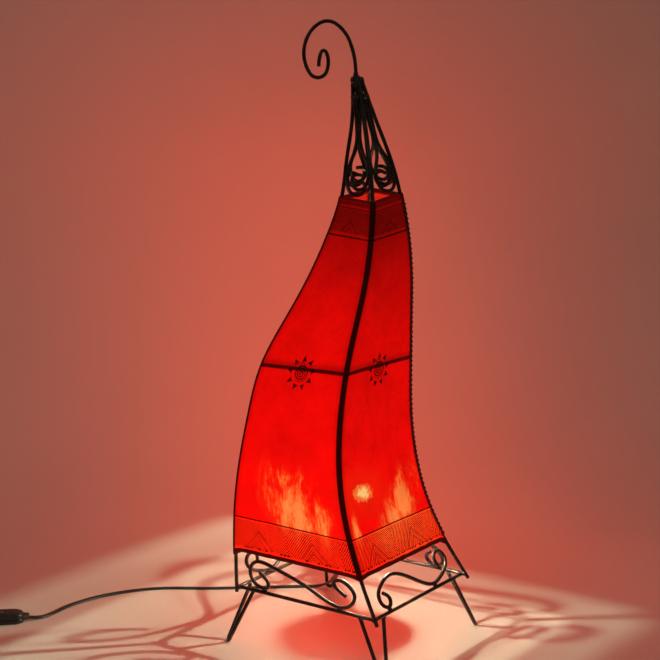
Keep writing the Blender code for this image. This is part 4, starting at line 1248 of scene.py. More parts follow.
def hem(edge, places, offsets, sign):
    """Rows turned in round an edge; sign is 1 at the lower edge and -1 at the upper."""
    rows = []
    for j, (reach, lift) in enumerate(offsets):
        far = (j + 1) * 1.2
        row, row_places = [], []
        for start, (before, after, up, down, ring_up, outward, away) in zip(edge, places):
            # near the ribs there is no room for the full turn
            room = min(1.0, max(0.0, (away - 1.0) / 8.0))
            room = room * room * (3 - 2 * room)
            offset = reach * (0.10 + 0.90 * room) if reach < -0.5 else reach
            z = lift if lift < 0 else lift * room
            row.append(start + outward * offset + Vector((0, 0, z * sign)))
            row_places.append((before, after, up - far if sign > 0 else up,
                               down - far if sign < 0 else down, ring_up))
        rows.append((row, row_places))
    return rows


def build_shade():
    rows = [shade_row(i / (SHADE_ROWS - 1)) for i in range(SHADE_ROWS)]
    low, _, low_places = rows[0]
    top, _, top_places = rows[-1]
    outside = hem(low, low_places, HEM_OUT, 1)[::-1]
    outside += [(outer, places) for outer, _, places in rows]
    outside += hem(top, top_places, HEM_OUT, -1)
    inside = hem(top, top_places, HEM_IN, -1)
    inside += [(inner, places) for _, inner, places in reversed(rows)]
    inside += hem(low, low_places, HEM_IN, 1)[::-1]
    loops = outside + inside

    shape = Shape()
    for row, _ in loops:
        shape.ring(row)
    face_place, row_place = [], []
    total, around = len(loops), len(low)
    quarter = around // 4
    for i in range(total):
        following = (i + 1) % total
        slot = 1 if i >= len(outside) and following >= len(outside) else 0
        for j in range(around):
            q = (j + 1) % around
            quad = ((i, j), (i, q), (following, q), (following, j))
            shape.face([row * around + column for row, column in quad], slot=slot)
            # Past the middle of a corner the skin belongs to the next face.
            after = 3 <= j % quarter < quarter - 1
            for row, column in quad:
                place = loops[row][1][column]
                face, across, half = place[after]
                face_place.append((across, half, face))
                row_place.append(place[2:5])
    obj = make("goatskin_shade", shape, [SKIN, SKIN_BACK],
               replaces="shade_skin")
    for name, values in (("face_place", face_place), ("row_place", row_place)):
        attribute = obj.data.attributes.new(name, "FLOAT_VECTOR", "CORNER")
        attribute.data.foreach_set("vector", np.array(values, np.float32).ravel())


LACE_R = 0.72


def stitch_path(z, seed):
    """One stitch over the right rib, its ends sunk into the skin on both faces."""
    reach = 4.2 + 0.5 * math.sin(seed * 2.1)
    slant = 2.2 + 0.3 * math.sin(seed * 3.3)
    radius = SKIN_OUT + LACE_R * 0.42
    flat = reach / (reach * 2 + 1.55 * radius)
    path = []
    for j in range(27):
        t = j / 26
        height = z + (t - 0.5) * slant
        rib = corner(1, height)
        into, away = (rib - corner(0, height)).normalized(), (corner(2, height) - rib).normalized()
        normals = Vector((into.y, -into.x, 0)), Vector((away.y, -away.x, 0))
        if t < flat or t > 1 - flat:
            first = t < flat
            share = (t if first else 1 - t) / flat
            sink = 1.9 * max(0.0, 1 - share * 3.2) ** 1.2
            normal, along = (normals[0], -into) if first else (normals[1], away)
            point = rib + normal * (radius - sink) + along * (reach * (1 - share))
        else:
            share = (t - flat) / (1 - 2 * flat)
            normal = (normals[0] * (1 - share) + normals[1] * share).normalized()
            point = rib + normal * (radius + 0.12 * math.sin(math.pi * share))
        path.append((point.x, point.y, height))
    return smoothed(np.array(path), 2)


def build_stitches():
    """Whip stitches over the laced corner, each a short length of twisted lace."""
    shape = Shape()
    z = STITCH_LOW
    i = 0
    angles = np.linspace(0, 2 * math.pi, 10, endpoint=False)
    while z < STITCH_HIGH:
        seed = i * 1.37

        def section(_, run):
            strands = 1 + 0.13 * np.cos(2 * (angles - (run * 1.5 + seed)))
            radius = LACE_R * strands * (1 + 0.05 * math.sin(run * 1.9 + seed))
            return np.stack(
                [np.cos(angles) * radius * 0.74, np.sin(angles) * radius * 1.38], axis=1)

        sweep(shape, stitch_path(z, seed), section, chamfer=0.2)
        z += STITCH_PITCH * (1 + 0.05 * math.sin(seed))
        i += 1
    make("whip_stitches", shape, [LACE], replaces="seam_lacing")


# ------------------------------------------------------------------ lampholder and bulb
HOLE_R, HOLE_SIDES = 14.2, 96


def helix(depth, pitch, low, high, beyond=0.0):
    """A screw thread between two heights, for radii larger than beyond."""
    def ripple(angle, radius, z):
        if radius <= beyond or not low < z < high:
            return 0.0
        ends = min(1.0, (z - low) / 1.5, (high - z) / 1.5)
        return depth * ends * math.sin(2 * math.pi * z / pitch - angle)
    return ripple


def wall(radius, z0, z1, step=0.45):
    count = max(1, int(abs(z1 - z0) / step))
    return [(radius, z0 + (z1 - z0) * i / count) for i in range(count + 1)]


def bridge_outline(inset, reach):
    """The strip with its round eye, seen from above; reach is its length at both edges."""
    half, eye = BRIDGE_W / 2 - inset, EYE_R - inset
    edges = ((-half, reach[0] - inset), (half, reach[1] - inset))
    spread = math.degrees(math.acos(half / eye))
    points = []
    for sign, turn in ((-1, 0), (1, 180)):
        points += [(HOLDER_X + x, sign * length) for x, length in edges[::-sign]]
        for i in range(41):
            angle = math.radians(turn - spread + 2 * spread * i / 40)
            points.append((HOLDER_X + eye * math.cos(angle), HOLDER_Y + eye * math.sin(angle)))
    return points


def build_bridge():
    ring = ring_path(SHADE_BOTTOM_Z)
    front = min(ring, key=lambda point: point.y)
    right = max(ring, key=lambda point: point.x)
    slope = (right.x - front.x) / (right.y - front.y)
    reach = [abs(front.y + (HOLDER_X + x - front.x) / slope) + 1.0
             for x in (-BRIDGE_W / 2, BRIDGE_W / 2)]
    shape = Shape()
    z0, z1 = BRIDGE_Z0, BRIDGE_Z0 + BRIDGE_T
    layers = []
    for z, inset in ((z0, 0.35), (z0 + 0.3, 0.0), (z1 - 0.3, 0.0), (z1, 0.35)):
        layers.append(shape.ring([(x, y, z) for x, y in bridge_outline(inset, reach)]))
    for low, high in zip(layers, layers[1:]):
        shape.bridge(low, high, smooth=False)
    spokes = circle(HOLE_SIDES) * HOLE_R
    holes = [shape.ring([(HOLDER_X + x, HOLDER_Y + y, z) for x, y in spokes]) for z in (z0, z1)]
    # The flat faces run from the outline to the hole vertices nearest in angle.
    for layer, hole, flip in ((layers[0], holes[0], True), (layers[-1], holes[1], False)):
        near = []
        for i in layer:
            x, y, _ = shape.points[i]
            angle = math.atan2(y - HOLDER_Y, x - HOLDER_X) % (2 * math.pi)
            near.append(int(round(angle / (2 * math.pi) * HOLE_SIDES)) % HOLE_SIDES)
        for j in range(len(layer)):
            q = (j + 1) % len(layer)
            back = [near[q]]
            while back[-1] != near[j]:
                back.append((back[-1] - 1) % HOLE_SIDES)
            face = [layer[j], layer[q]] + [hole[i] for i in back]
            shape.face(face[::-1] if flip else face, smooth=False)
    shape.bridge(holes[0], holes[1], turned=True)
    make("holder_bridge_strip", shape, [IRON], replaces="holder_bridge")
    end = min(reach) - 2.5
    for sign in (-1, 1):
        for y, seed in ((-end, 41 + sign), (end, 47 + sign)):
            bead((HOLDER_X + sign * 0.5, y, BRIDGE_Z0 - 0.2), (5.0, 2.2, 1.6), seed=seed)


def build_nut(name, low, high):
    """A ring with finger grips round its rim."""
    step_r, rim = NUT_R_IN + 2.6, NUT_R_OUT - 0.1
    profile = rounded([(NUT_R_IN, low), (rim, low), (rim, high), (step_r, high),
                       (step_r, high - 0.7), (NUT_R_IN, high - 0.7)], 0.45)

    def grip(angle, radius, z):
        if radius < NUT_R_OUT - 1.0:
            return 0.0
        if not low + 0.5 < z < high - 0.5:
            return -0.3
        return -0.55 * (0.5 - 0.5 * math.tanh(6 * (math.cos(18 * angle) + 0.25)))

    fine = []
    for start, end in zip(profile, profile[1:] + profile[:1]):
        steps = 6 if abs(start[1] - end[1]) > 2.0 else 1
        for t in range(steps):
            fine.append(tuple(a + (b - a) * t / steps for a, b in zip(start, end)))
    shape = Shape()
    lathe(shape, fine, 144, ripple=grip)
    make(name + "_ring", shape, [BLACK], replaces=name)


def build_holder():
    build_bridge()
    z0, z1 = BODY_Z0, BODY_Z1
    shape = Shape()
    profile = [(3.0, z0), (BODY_R - 1.0, z0), (BODY_R - 0.4, z0 + 0.4)]
    profile += wall(BODY_R - 0.25, z0 + 1.0, z1 - 1.5)
    profile += [(BODY_R - 0.6, z1 - 0.5), (BODY_R - 1.2, z1),
                (BODY_BORE_R + 0.7, z1), (BODY_BORE_R + 0.1, z1 - 0.5)]
    profile += wall(BODY_BORE_R, z1 - 1.2, z0 + 6.0, 3.0)
    profile += [(3.0, z0 + 6.0)]
    thread = helix(depth=0.28, pitch=2.4, low=z0 + 2.0, high=z1 - 8.0, beyond=12)
    lathe(shape, profile, 72, ripple=thread)
    make("lampholder_body", shape, [BLACK], replaces="holder_body")

    under, over = BRIDGE_Z0 - GAP, BRIDGE_Z0 + BRIDGE_T + GAP
    build_nut("holder_nut_lower", under - NUT_T, under)
    build_nut("holder_nut_upper", over, over + NUT_T)

    shape = Shape()
    profile = rounded([
        (3.3, CAP_Z0), (7.0, CAP_Z0), (BODY_R - 1.7, CAP_Z0 + 4.5),
        (BODY_R - 0.7, CAP_Z1 - 1.6), (BODY_R - 0.7, CAP_Z1), (BODY_R - 2.4, CAP_Z1),
        (BODY_R - 3.2, CAP_Z0 + 5.0), (3.3, CAP_Z0 + 2.5)], 0.6)

    def flutes(angle, radius, z):
        return 0.16 * math.cos(30 * angle) if radius > 10.0 and z > CAP_Z0 + 3.5 else 0.0

    lathe(shape, profile, 120, ripple=flutes)
    make("lampholder_cap", shape, [BLACK], replaces="holder_cap")

    shape = Shape()
    lathe(shape, wall(8.02, 102.0, 123.5) + wall(7.56, 123.5, 102.0),
          ripple=helix(depth=0.16, pitch=3.6, low=101.0, high=124.5))
    make("holder_shell_threaded", shape, [BRASS], replaces="holder_thread_shell")

    shape = Shape()
    lathe(shape, [(0, 98.4), (4.2, 98.4), (4.4, 98.7), (4.3, 99.2), (3.0, 99.9), (2.2, 100.7),
                  (1.4, 101.0), (0, 101.05)], 32, closed=False)
    make("holder_contact_spring", shape, [BRASS], replaces="holder_contact")


def build_bulb():
    build_bulb_cap()
    build_bulb_glass()
    build_filament()


def build_bulb_cap():
    z0, z1 = BULB_CAP_Z0, BULB_CAP_Z1
    shape = Shape()
    profile = [(0, z0 - 1.4), (1.6, z0 - 1.35), (2.4, z0 - 1.0), (2.9, z0 - 0.1),
               (3.2, z0 + 0.3), (4.4, z0 + 0.7), (5.6, z0 + 2.0), (6.3, z0 + 3.0)]
    profile += wall(6.78, z0 + 3.8, z1 - 5.4)
    profile += [(6.9, z1 - 4.6), (7.5, z1 - 3.4), (7.85, z1 - 2.4), (7.85, z1 - 0.4), (7.6, z1),
                (6.6, z1), (6.5, z1 - 0.8), (6.4, z0 + 7.0), (0, z0 + 6.4)]
    thread = helix(depth=0.22, pitch=3.6, low=z0 + 3.4, high=z1 - 4.6, beyond=6.7)
    lathe(shape, profile, ripple=thread, closed=False)
    make("bulb_screw_cap", shape, [BRASS], replaces="bulb_cap", body="bulb")


def build_bulb_glass():
    z0 = BULB_CAP_Z1 + 0.1
    knots = (  # radius, height above the cap
        (7.4, 0.0), (7.7, 3.0), (10.6, 9.0), (14.7, 17.0), (16.9, 25.0), (17.25, 32.0),
        (15.9, 41.0), (12.6, 51.0), (8.2, 60.0), (4.2, 66.5), (1.8, 70.0), (0.0, 71.3),
    )
    outer = [(max(0.0, point.x), point.y)
             for point in dense([(radius, z0 + rise) for radius, rise in knots], 70)]
    outer[-1] = (0.0, outer[-1][1])
    inner = []
    for (radius, z), (next_radius, next_z) in zip(outer, outer[1:]):
        widen, climb = next_radius - radius, next_z - z
        length = math.hypot(widen, climb)
        inner.append((max(0.05, radius - 0.5 * climb / length), z + 0.5 * widen / length))
    inner.append((0.0, outer[-1][1] - 0.5))
    shape = Shape()
    lathe(shape, outer + inner[::-1])
    glass = make("bulb_envelope", shape, [GLASS], replaces="bulb_glass",
                 body="bulb")
    glass.visible_shadow = False

    top = FILAMENT_Z
    shape = Shape()
    lathe(shape, [
        (0, z0 - 1.0), (5.9, z0 - 1.0), (6.1, z0 + 0.5), (4.6, z0 + 4.0), (2.9, z0 + 7.5),
        (2.2, z0 + 11.0), (1.9, top - 15.0), (2.6, top - 12.6), (2.7, top - 11.4),
        (1.7, top - 10.2), (0, top - 9.8)], 40, closed=False)
    stem = make("bulb_stem_glass", shape, [STEM], replaces="bulb_stem",
                body="bulb")
    stem.visible_shadow = False


def build_filament():
    shape = Shape()

    # distances from the axis and heights from the filament
    def wire(x_way, y_way, knots, radius, chamfer):
        points = [(HOLDER_X + x_way * reach, HOLDER_Y + y_way * reach, FILAMENT_Z + rise)
                  for reach, rise in knots]
        path = resample(dense(points, 60), 0.6)
        sweep(shape, path, round_section(radius, 8), chamfer=chamfer)

    for sign in (-1, 1):
        wire(sign, 0, ((1.0, -12.5), (2.2, -7.0), (6.2, -2.0), (7.0, 0.1)), 0.28, 0.05)
    for degrees in (90, 270):
        angle = math.radians(degrees)
        wire(math.cos(angle), math.sin(angle), ((0.0, -11.0), (1.2, -6.0), (2.4, -0.4)),
             0.16, 0.04)
    make("bulb_support_wires", shape, [SUPPORT], body="bulb")

    shape = Shape()
    path = []
    turns, radius = 26, 0.62
    for i in range(turns * 12 + 1):
        t = i / (turns * 12)
        sag = 2.2 * math.sin(math.pi * t)
        angle = 2 * math.pi * turns * t
        path.append((
            HOLDER_X - 7.0 + 14.0 * t,
            HOLDER_Y + radius * math.cos(angle) + 1.2 * math.sin(2 * math.pi * t),
            FILAMENT_Z + radius * math.sin(angle) + 0.5 - sag * 0.25))
    sweep(shape, path, round_section(0.17, 6), chamfer=0.03)
    coil = make("bulb_filament_coil", shape, [FILAMENT], body="bulb")
    coil.visible_shadow = False


# ------------------------------------------------------------------ lead, switch, plug
FLEX_CORE_R, FLEX_APART, FLEX_WEB = 1.42, 1.32, 0.95  # core, its offset, half web


def flex_outline():
    """Two cores side by side with a shallow groove between them."""
    points = []
    for x, y in circle(40):
        reach = 0.0
        for middle in (-FLEX_APART, FLEX_APART):
            near = x * middle
            inside = near * near - (middle * middle - FLEX_CORE_R * FLEX_CORE_R)
            if inside >= 0:
                reach = max(reach, near + math.sqrt(inside))
        reach = max(reach, min(FLEX_WEB / max(abs(y), 1e-6), FLEX_CORE_R))
        points.append((reach * x, reach * y))
    return np.array(points)


def lead_sides(tangent):
    """Side vectors that lie level wherever the lead does, carried on up the steep part."""
    side = np.cross((0.0, 0.0, 1.0), tangent)
    length = np.linalg.norm(side, axis=1)
    good = length > 0.55
    side[good] /= length[good][:, None]
    first = int(np.argmax(good))
    for i in range(first - 1, -1, -1):
        side[i] = carried(side[i + 1], tangent[i])
    for i in range(first + 1, len(tangent)):
        if not good[i]:
            side[i] = carried(side[i - 1], tangent[i])
    return side


def build_flex(name, points, count, seed):
    """A length of twin lead through points given from the lamp axis."""
    placed = [(LAMP_X + x, LAMP_Y + y, z) for x, y, z in points]
    path = resample(dense(placed, count), 2.0)
    # The flat lead lies lower than a round one would.
    path[:, 2] -= 1.15 * np.clip((8.0 - path[:, 2]) / 5.0, 0, 1)
    tangent = tangents_of(path)
    side = lead_sides(tangent)
    normal = np.cross(tangent, side)
    outline = flex_outline()
    rings = []
    for i, run in enumerate(run_along(path)):
        turn = 0.10 * math.sin(run / 47.0 + seed) + 0.05 * math.sin(run / 19.0)
        cos, sin = math.cos(turn), math.sin(turn)
        size = 1 + 0.012 * math.sin(run / 9.0 + seed)
        offsets = outline * size @ np.array([[cos, sin], [-sin, cos]])
        rings.append(path[i] + offsets[:, :1] * side[i] + offsets[:, 1:2] * normal[i])
    shape = Shape()
    tube(shape, rings, floor=0.02)
    make(name + "_twin", shape, [CABLE], replaces=name)


def build_lead():
    build_flex("flex_lamp", FLEX_LAMP, 900, seed=1)
    points = [(SWITCH_X0 - 0.6, SWITCH_Y, 6.0), (SWITCH_X0 - 10.0, SWITCH_Y + 0.3, 4.4),
              (SWITCH_X0 - 26.0, SWITCH_Y + 0.4, 2.7)]
    steps = int(COIL_TURNS * 16)
    for i in range(steps + 1):
        angle = math.radians(70.0 + 360.0 * COIL_TURNS * i / steps)
        radius = COIL_R + 2.0 * math.sin(3.1 * angle)
        points.append((COIL_X + radius * math.cos(angle), COIL_Y + radius * math.sin(angle),
                       2.65 + COIL_RISE * COIL_TURNS * i / steps))
    x, y, _ = points[-1]
    points += [
        (x + 20.0, y - 10.0, 8.5), (x + 34.0, y - 34.0, 4.0), (x + 30.0, y - 62.0, 2.9),
        (PLUG_X + 10.0, PLUG_Y0 + 28.0, 3.9), (PLUG_X + 0.6, PLUG_Y0 + 10.0, 6.3),
        (PLUG_X, PLUG_Y0 + 0.9, PLUG_Z),
    ]
    build_flex("flex_plug", points, 1400, seed=4)


# In the switch, x runs from its middle and share is y over the half width there.
WINDOW_X, WINDOW_Y = 9.0, 5.0
WINDOW_SHARE = WINDOW_Y / (SWITCH_W / 2)
COVER_SHARES = (0.0, 0.12, 0.24, 0.36, WINDOW_SHARE, 0.56, 0.64, 0.72, 0.8, 0.87, 0.92, 0.955,
                0.98, 0.995, 1.0)
COVER_UNDER_Z = 6.15


def switch_half_width(x):
    """Plan of the switch: straight sides, rounded ends."""
    radius = 9.0
    straight = SWITCH_END - radius
    if abs(x) <= straight:
        return SWITCH_W / 2
    past = min(radius, abs(x) - straight)
    return SWITCH_W / 2 - radius + math.sqrt(max(0.0, radius * radius - past * past)) + 0.02


def switch_point(x, share, z, inset=0.0):
    y = share * switch_half_width(x)
    length = math.hypot(x, y) or 1.0
    return (SWITCH_MID_X + x - inset * x / length, SWITCH_MID_Y + y - inset * y / length, z)


def rim(columns, rows):
    """Grid places round a block of columns and rows."""
    return (
        [(i, rows[0]) for i in columns] + [(columns[-1], j) for j in rows[1:]]
        + [(i, rows[-1]) for i in reversed(columns[:-1])]
        + [(columns[0], j) for j in reversed(rows[1:-1])]
    )


def cover_height(x, share):
    over = max(abs(share), max(0.0, (abs(x) - 20.0) / 10.0))
    z = 10.4 + 3.1 * max(0.0, 1 - over ** 7) ** 0.5
    z -= 2.2 * max(0.0, (abs(x) - 14.0) / 16.0) ** 2
    if abs(share) < 0.72:
        # ridges across both ends
        for ridge in (17.0, 19.4, 21.8, 24.2):
            z += 0.38 * math.exp(-(((abs(x) - ridge) / 0.55) ** 2)) * (1 - (abs(share) / 0.72) ** 8)
    # raised lip round the window
    edge = max(abs(x) - WINDOW_X, abs(share) * SWITCH_W / 2 - WINDOW_Y)
    if 0 <= edge < 1.6:
        z += 0.45 * (1 - edge / 1.6 if edge > 0.35 else edge / 0.35) ** 0.5
    return z


def build_switch_cover():
    fine = list(np.round(np.linspace(-SWITCH_END, SWITCH_END, 101), 4))
    xs = sorted(set(fine + [-WINDOW_X, WINDOW_X, -29.9, 29.9, -29.6, 29.6]))
    shares = sorted({sign * share for share in COVER_SHARES for sign in (1, -1)})
    columns, rows = len(xs), len(shares)
    shape = Shape()
    for x in xs:
        shape.ring([switch_point(x, share, cover_height(x, share)) for share in shares])

    def number(i, j):
        return i * rows + j

    slack = 1e-6
    wide = [i for i in range(columns) if abs(xs[i]) <= WINDOW_X + slack]
    deep = [j for j in range(rows) if abs(shares[j]) <= WINDOW_SHARE + slack]

    def in_window(i, j):
        return i in wide and i + 1 in wide and j in deep and j + 1 in deep

    shape.grid(columns, rows, number, smooth=True, turned=False, skip=in_window)
    loop = rim(range(columns), range(rows))
    edge = [number(i, j) for i, j in loop]
    last = edge
    for fall, inset in ((0.3, 0.0), (0.72, 0.0), (1.0, 0.0), (None, 0.25)):
        points = []
        for i, j in loop:
            top = shape.points[number(i, j)][2]
            z = COVER_UNDER_Z if fall is None else top + (6.35 - top) * fall
            points.append(switch_point(xs[i], shares[j], z, inset))
        ring = shape.ring(points)
        shape.bridge(last, ring, turned=True)
        last = ring
    # window walls
    window = [number(i, j) for i, j in rim(wide, deep)]
    low = shape.ring([(*shape.points[i][:2], COVER_UNDER_Z) for i in window])
    shape.bridge(window, low, smooth=False)
    # underside, closing the rim to the window
    under = dict(zip(edge, last))
    under.update(zip(window, low))
    for i, x in enumerate(xs):
        for j, share in enumerate(shares):
            if number(i, j) not in under:
                point = switch_point(x, share, COVER_UNDER_Z, 0.25)
                under[number(i, j)] = shape.ring([point])[0]
    shape.grid(columns, rows, lambda i, j: under[number(i, j)], smooth=False, turned=True,
               skip=in_window)
    make("switch_cover_shell", shape, [BLACK], replaces="switch_cover")


def build_switch_base():
    """Lower half, with the screw wells."""
    xs = np.linspace(-SWITCH_END, SWITCH_END, 141)
    shares = np.linspace(-1, 1, 61)
    columns, rows = len(xs), len(shares)
    shape = Shape()
    for x in xs:
        half = switch_half_width(x)
        points = []
        for share in shares:
            over = max(abs(share), max(0.0, (abs(x) - 21.0) / 9.0))
            z = 0.12 + 1.6 * (1 - max(0.0, 1 - over ** 9) ** 0.5)
            if min(math.hypot(x - screw, share * half) for screw in (-SCREW_X, SCREW_X)) < 2.75:
                z = 2.5
            points.append(switch_point(x, share, z))
        shape.ring(points)
    shape.grid(columns, rows, lambda i, j: i * rows + j, smooth=False, turned=True)
    loop = rim(range(columns), range(rows))
    last = [i * rows + j for i, j in loop]
    for z, inset in ((2.4, 0.0), (5.6, 0.0), (5.85, 0.25)):
        ring = shape.ring([switch_point(xs[i], shares[j], z, inset) for i, j in loop])
        shape.bridge(last, ring)
        last = ring
    shape.face(last, smooth=False)
    make("switch_base_shell", shape, [BLACK], replaces="switch_base")


def build_switch_collars():
    """Sleeves on the lead at both ends of the switch."""
    unit = circle(40)

    def sleeve(i, run):
        t = i / 29
        radius = 5.3 - 1.35 * t ** 1.6
        if 0.3 < t < 0.97:
            radius += 0.28 * math.cos(t * 22.0)
        return unit * radius * (1.12, 0.86)

    for name, sign in (("a", 1), ("b", -1)):
        shape = Shape()
        path = [(SWITCH_MID_X + sign * (27.5 + 9.0 * t), SWITCH_MID_Y, 6.3)
                for t in np.linspace(0, 1, 30)]
        sweep(shape, path, sleeve, level=True, chamfer=0.4)
        make("switch_collar_" + name, shape, [COLLAR])


def build_rocker():
    outline = []
    for i in range(25):
        x = -8.0 + 16.0 * i / 24
        ridges = 0.14 * math.cos(x * 3.1) if 4.6 < abs(x) < 7.2 else 0.0
        outline.append((x, 2.15 + 0.85 * (abs(x) / 8.0) ** 1.3 + ridges))
    outline += [(8.0, 2.2), (8.0, -1.3), (2.6, -3.4), (-2.6, -3.4), (-8.0, -1.3), (-8.0, 2.2)]
    tilt = math.radians(ROCKER_REST)
    cos, sin = math.cos(tilt), math.sin(tilt)
    shape = Shape()
    layers = []
    for y, shrink in ((-4.6, 0.94), (-4.45, 0.985), (-4.2, 1.0),
                      (4.2, 1.0), (4.45, 0.985), (4.6, 0.94)):
        points = []
        for x, z in outline:
            x, z = x * (0.5 + 0.5 * shrink), z * shrink
            points.append((SWITCH_MID_X + (x * cos + z * sin), SWITCH_MID_Y + y,
                           ROCKER_Z + (-x * sin + z * cos)))
        layers.append(shape.ring(points))
    for low, high in zip(layers, layers[1:]):
        for j in range(len(outline)):
            q = (j + 1) % len(outline)
            shape.face((low[q], high[q], high[j], low[j]), smooth=j < 23)
    shape.face(layers[0][::-1], smooth=False)
    shape.face(layers[-1], smooth=False)
    make("switch_rocker_cap", shape, [ROCKER], replaces="switch_rocker",
         body="rocker")


def build_switch():
    build_switch_cover()
    build_switch_base()
    build_switch_collars()
    build_rocker()
    for hand, x in (("a", -SCREW_X), ("b", SCREW_X)):
        shape = Shape()
        lathe(shape, [(0.0, 0.62), (1.9, 0.5), (2.15, 0.65), (2.2, 0.9), (2.2, 2.3), (0.0, 2.3)],
              40, closed=False, centre=(SWITCH_MID_X + x, SWITCH_MID_Y))
        make("switch_screw_head_" + hand, shape, [STEEL],
             replaces="switch_screw_" + hand)


def build_plug():
    plug_x = LAMP_X + PLUG_X
    sections = (  # y, half width, half height
        (PLUG_Y0 + 0.2, 3.9, 3.3), (PLUG_Y0 - 6.0, 4.7, 3.9), (PLUG_Y0 - 14.0, 9.2, 5.3),
        (PLUG_Y0 - 22.0, 12.0, 6.2), (PLUG_Y1 + 3.0, 12.3, 6.35), (PLUG_Y1, 11.6, 5.6),
    )
    power = 3.2  # squareness of the section
    rings = []
    for y, wide, high in dense(sections, 90):
        t = (PLUG_Y0 - y) / (PLUG_Y0 - PLUG_Y1)
        groove = sum(0.34 * math.exp(-(((t - at) / 0.016) ** 2))
                     for at in (0.50, 0.58, 0.66, 0.74))
        relief = 0.30 * math.cos(t * 95.0) if t < 0.17 else 0.0
        ring = []
        for j in range(56):
            angle = 2 * math.pi * j / 56
            cos, sin = math.cos(angle), math.sin(angle)
            reach = (abs(cos) ** power + abs(sin) ** power) ** (-1 / power)
            ring.append((plug_x + (wide + relief - groove * abs(cos) ** 6) * reach * cos, y,
                         PLUG_Z + (high + relief * 0.6) * reach * sin))
        rings.append(ring)
    last = rings[-1]
    for shrink, fall in ((0.985, 0.14), (0.95, 0.24), (0.90, 0.28)):
        rings.append([(plug_x + (x - plug_x) * shrink, PLUG_Y1 - fall,
                       PLUG_Z + (z - PLUG_Z) * shrink) for x, _, z in last])
    shape = Shape()
    numbers = [shape.ring(ring) for ring in rings]
    for first, second in zip(numbers, numbers[1:]):
        shape.bridge(first, second)
    shape.face(numbers[0][::-1], smooth=False)
    shape.face(numbers[-1], smooth=False)
    make("plug_moulding", shape, [BLACK], replaces="plug_body")

    unit = circle(32)

    def pin(i, run):
        t = i / 59
        radius = 2.0 if t < 0.50 else 1.96
        if t > 0.90:
            radius = 1.96 * math.sqrt(max(0.02, 1 - ((t - 0.90) / 0.104) ** 2))
        if 0.495 < t < 0.515:
            radius = 1.9
        return unit * radius

    root_y = PLUG_Y1 + 0.2
    sleeve_end = PLUG_Y1 + (PIN_TIP_Y - PLUG_Y1) * 0.5
    for hand, offset in (("a", -9.3), ("b", 9.3)):
        x = plug_x + offset * 0.95
        shape = Shape()
        path = [(x, root_y + (PIN_TIP_Y - root_y) * t, PLUG_Z) for t in np.linspace(0, 1, 60)]
        sweep(shape, path, pin, level=True)
        shape.slots = [int(max(shape.points[i][1] for i in face) > sleeve_end)
                       for face in shape.faces]
        make("plug_pin_sleeved_" + hand, shape, [STEEL, BLACK],
             replaces="plug_pin_" + hand)


# ------------------------------------------------------------------ assembly
build_ribs()
build_rings()
build_legs()
build_base_scrolls()
build_crown()
build_finial()
build_shade()
build_stitches()
build_holder()
make("weld_beads", BEADS, [WELD])
build_bulb()
build_lead()
build_switch()
build_plug()


# ------------------------------------------------------------------ stage, in metres
def build_stage():
    """A floor that curves up into a backdrop behind the lamp."""
    front_y, back_y, top_z, bend, half_width = -14.0, 0.75, 3.2, 0.50, 14.0
    line = [(front_y, 0.0), (back_y - bend, 0.0)]
    for i in range(1, 17):
        angle = math.pi / 2 * i / 16
        line.append((back_y - bend + bend * math.sin(angle), bend - bend * math.cos(angle)))
    line.append((back_y, top_z))
    points = [(x, y, z) for y, z in line for x in (-half_width, half_width)]
    faces = [(a, a + 1, a + 3, a + 2) for a in range(0, len(points) - 2, 2)]
    mesh = bpy.data.meshes.new("sweep_floor")
    mesh.from_pydata(points, [], faces)
    mesh.materials.append(floor_material())
    for polygon in mesh.polygons:
        polygon.use_smooth = True
    floor = add_object("sweep_floor", mesh)
    return floor


def area_light(name, place, size, power, colour, aim=(LAMP_X * MM, LAMP_Y * MM, 0.30)):
    data = bpy.data.lights.new(name, "AREA")
    data.shape = "RECTANGLE"
    data.size, data.size_y = size
    data.energy = power
    data.color = colour
    light = add_object(name, data)
    light.location = place
    light.rotation_euler = (Vector(aim) - Vector(place)).to_track_quat("-Z", "Y").to_euler()


def bulb_light(name, place, radius, power, colour, fade=None):
    """A point light that rides with the bulb. Fade "Linear" or "Constant" keeps it from
    fading quickly with distance; "Rising" also makes up for the flatter angle at which
    far floor is lit."""
    data = bpy.data.lights.new(name, "POINT")
    data.energy = power
    data.color = colour
    data.shadow_soft_size = radius
    if fade:
        data.use_nodes = True
        tree = data.node_tree
        falloff = tree.nodes.new("ShaderNodeLightFalloff")
        falloff.inputs["Strength"].default_value = 1.0
        strength = falloff.outputs["Constant" if fade == "Rising" else fade]
        if fade == "Rising":
            path = tree.nodes.new("ShaderNodeLightPath")
            product = tree.nodes.new("ShaderNodeMath")
            product.operation = "MULTIPLY"
            tree.links.new(strength, product.inputs[0])
            tree.links.new(path.outputs["Ray Length"], product.inputs[1])
            strength = product.outputs["Value"]
        tree.links.new(strength, tree.nodes["Emission"].inputs["Strength"])
    light = add_object(name, data)
    light.location = place
    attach(light, "bulb")
    return light


def collect(name, *materials):
    """A collection of the meshes whose first material is one of these."""
    group = bpy.data.collections.new(name)
    for piece in SCENE.objects:
        if piece.type == "MESH" and piece.data.materials and piece.data.materials[0] in materials:
            group.objects.link(piece)
    return group


FLOOR = build_stage()
area_light("softbox_left", place=(-1.5, -1.7, 1.9), size=(1.8, 1.4), power=4.2,
           colour=(1.0, 0.84, 0.65))
area_light("softbox_right", place=(2.1, -1.2, 1.4), size=(1.4, 1.4), power=1.6,
           colour=(1.0, 0.83, 0.65))
area_light("softbox_top", place=(0.3, 0.1, 2.3), size=(1.6, 1.6), power=1.9,
           colour=(1.0, 0.85, 0.70), aim=(0.2, 0.1, 0.0))

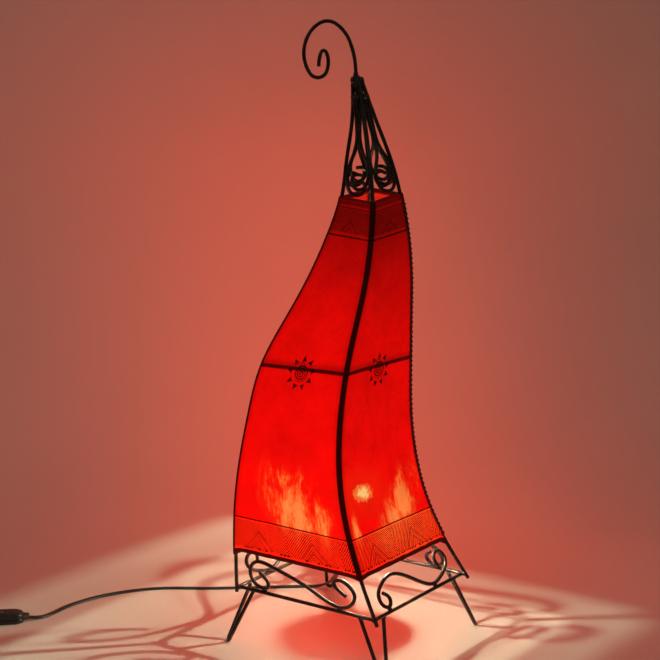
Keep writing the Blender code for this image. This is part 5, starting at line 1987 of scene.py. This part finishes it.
SPOT = (BULB[0] + 0.006, BULB[1] + 0.004, BULB[2] - 0.006)
LOW_SPOT = (SPOT[0], SPOT[1], SPOT[2] - 0.021)
NEAR_POOL, FAR_POOL = (0.85, 0.86, 0.56), (0.64, 0.88, 0.59)  # colours on the floor
bulb_light("bulb_glow", SPOT, radius=0.003, power=0.45, colour=(1.0, 0.84, 0.62))
iron_glow = bulb_light("bulb_on_iron", SPOT, radius=0.006, power=8.5, colour=(1.0, 0.86, 0.68))
iron_glow.light_linking.receiver_collection = collect("lit_iron", IRON, WELD)
bulb_light("bulb_pool", SPOT, radius=0.003, power=12.0, colour=NEAR_POOL, fade="Constant")
bulb_light("bulb_pool_far", SPOT, radius=0.003, power=46.0, colour=FAR_POOL, fade="Rising")
bulb_light("bulb_pool_low", LOW_SPOT, radius=0.005, power=5.0, colour=NEAR_POOL,
           fade="Constant")
bulb_light("bulb_pool_low_far", LOW_SPOT, radius=0.005, power=104.0, colour=FAR_POOL,
           fade="Rising")
bulb_light("bulb_haze", (BULB[0], BULB[1], BULB[2] - 0.012), radius=0.015, power=0.12,
           colour=(1.0, 0.74, 0.50))
# Red light that the shade sheds all round it, on the floor and the backdrop.
shade_glow = bulb_light("shade_glow", (LAMP_X * MM, 0.0, 0.30), radius=0.07, power=4.0,
                        colour=(1.0, 0.055, 0.014), fade="Linear")
back_glow = bulb_light("backdrop_glow", (LAMP_X * MM + 0.07, 0.32, 0.38), radius=0.10,
                       power=3.7, colour=(1.0, 0.050, 0.012))
stage_only = collect("stage_only", FLOOR.data.materials[0])
blockers = collect("glow_blockers", IRON, WELD, BLACK, CABLE)
for glow in (shade_glow, back_glow):
    glow.light_linking.receiver_collection = stage_only
    glow.light_linking.blocker_collection = blockers

world = bpy.data.worlds.new("soft_room")
SCENE.world = world
world.use_nodes = True
background = world.node_tree.nodes["Background"]
background.inputs["Color"].default_value = (1.0, 0.87, 0.74, 1.0)
background.inputs["Strength"].default_value = 0.062

camera = bpy.data.cameras.new("camera")
camera.lens = 87.27
camera.sensor_width = 36.0
camera.clip_start, camera.clip_end = 0.05, 30.0
camera_object = add_object("camera", camera)
camera_object.location = (LAMP_X * MM - 0.3275, -1.7473, 0.6921)
camera_object.rotation_euler = (math.radians(79.35), 0.0, math.radians(-9.8))
SCENE.camera = camera_object
SCENE.view_settings.view_transform = "Standard"

bpy.context.view_layer.update()
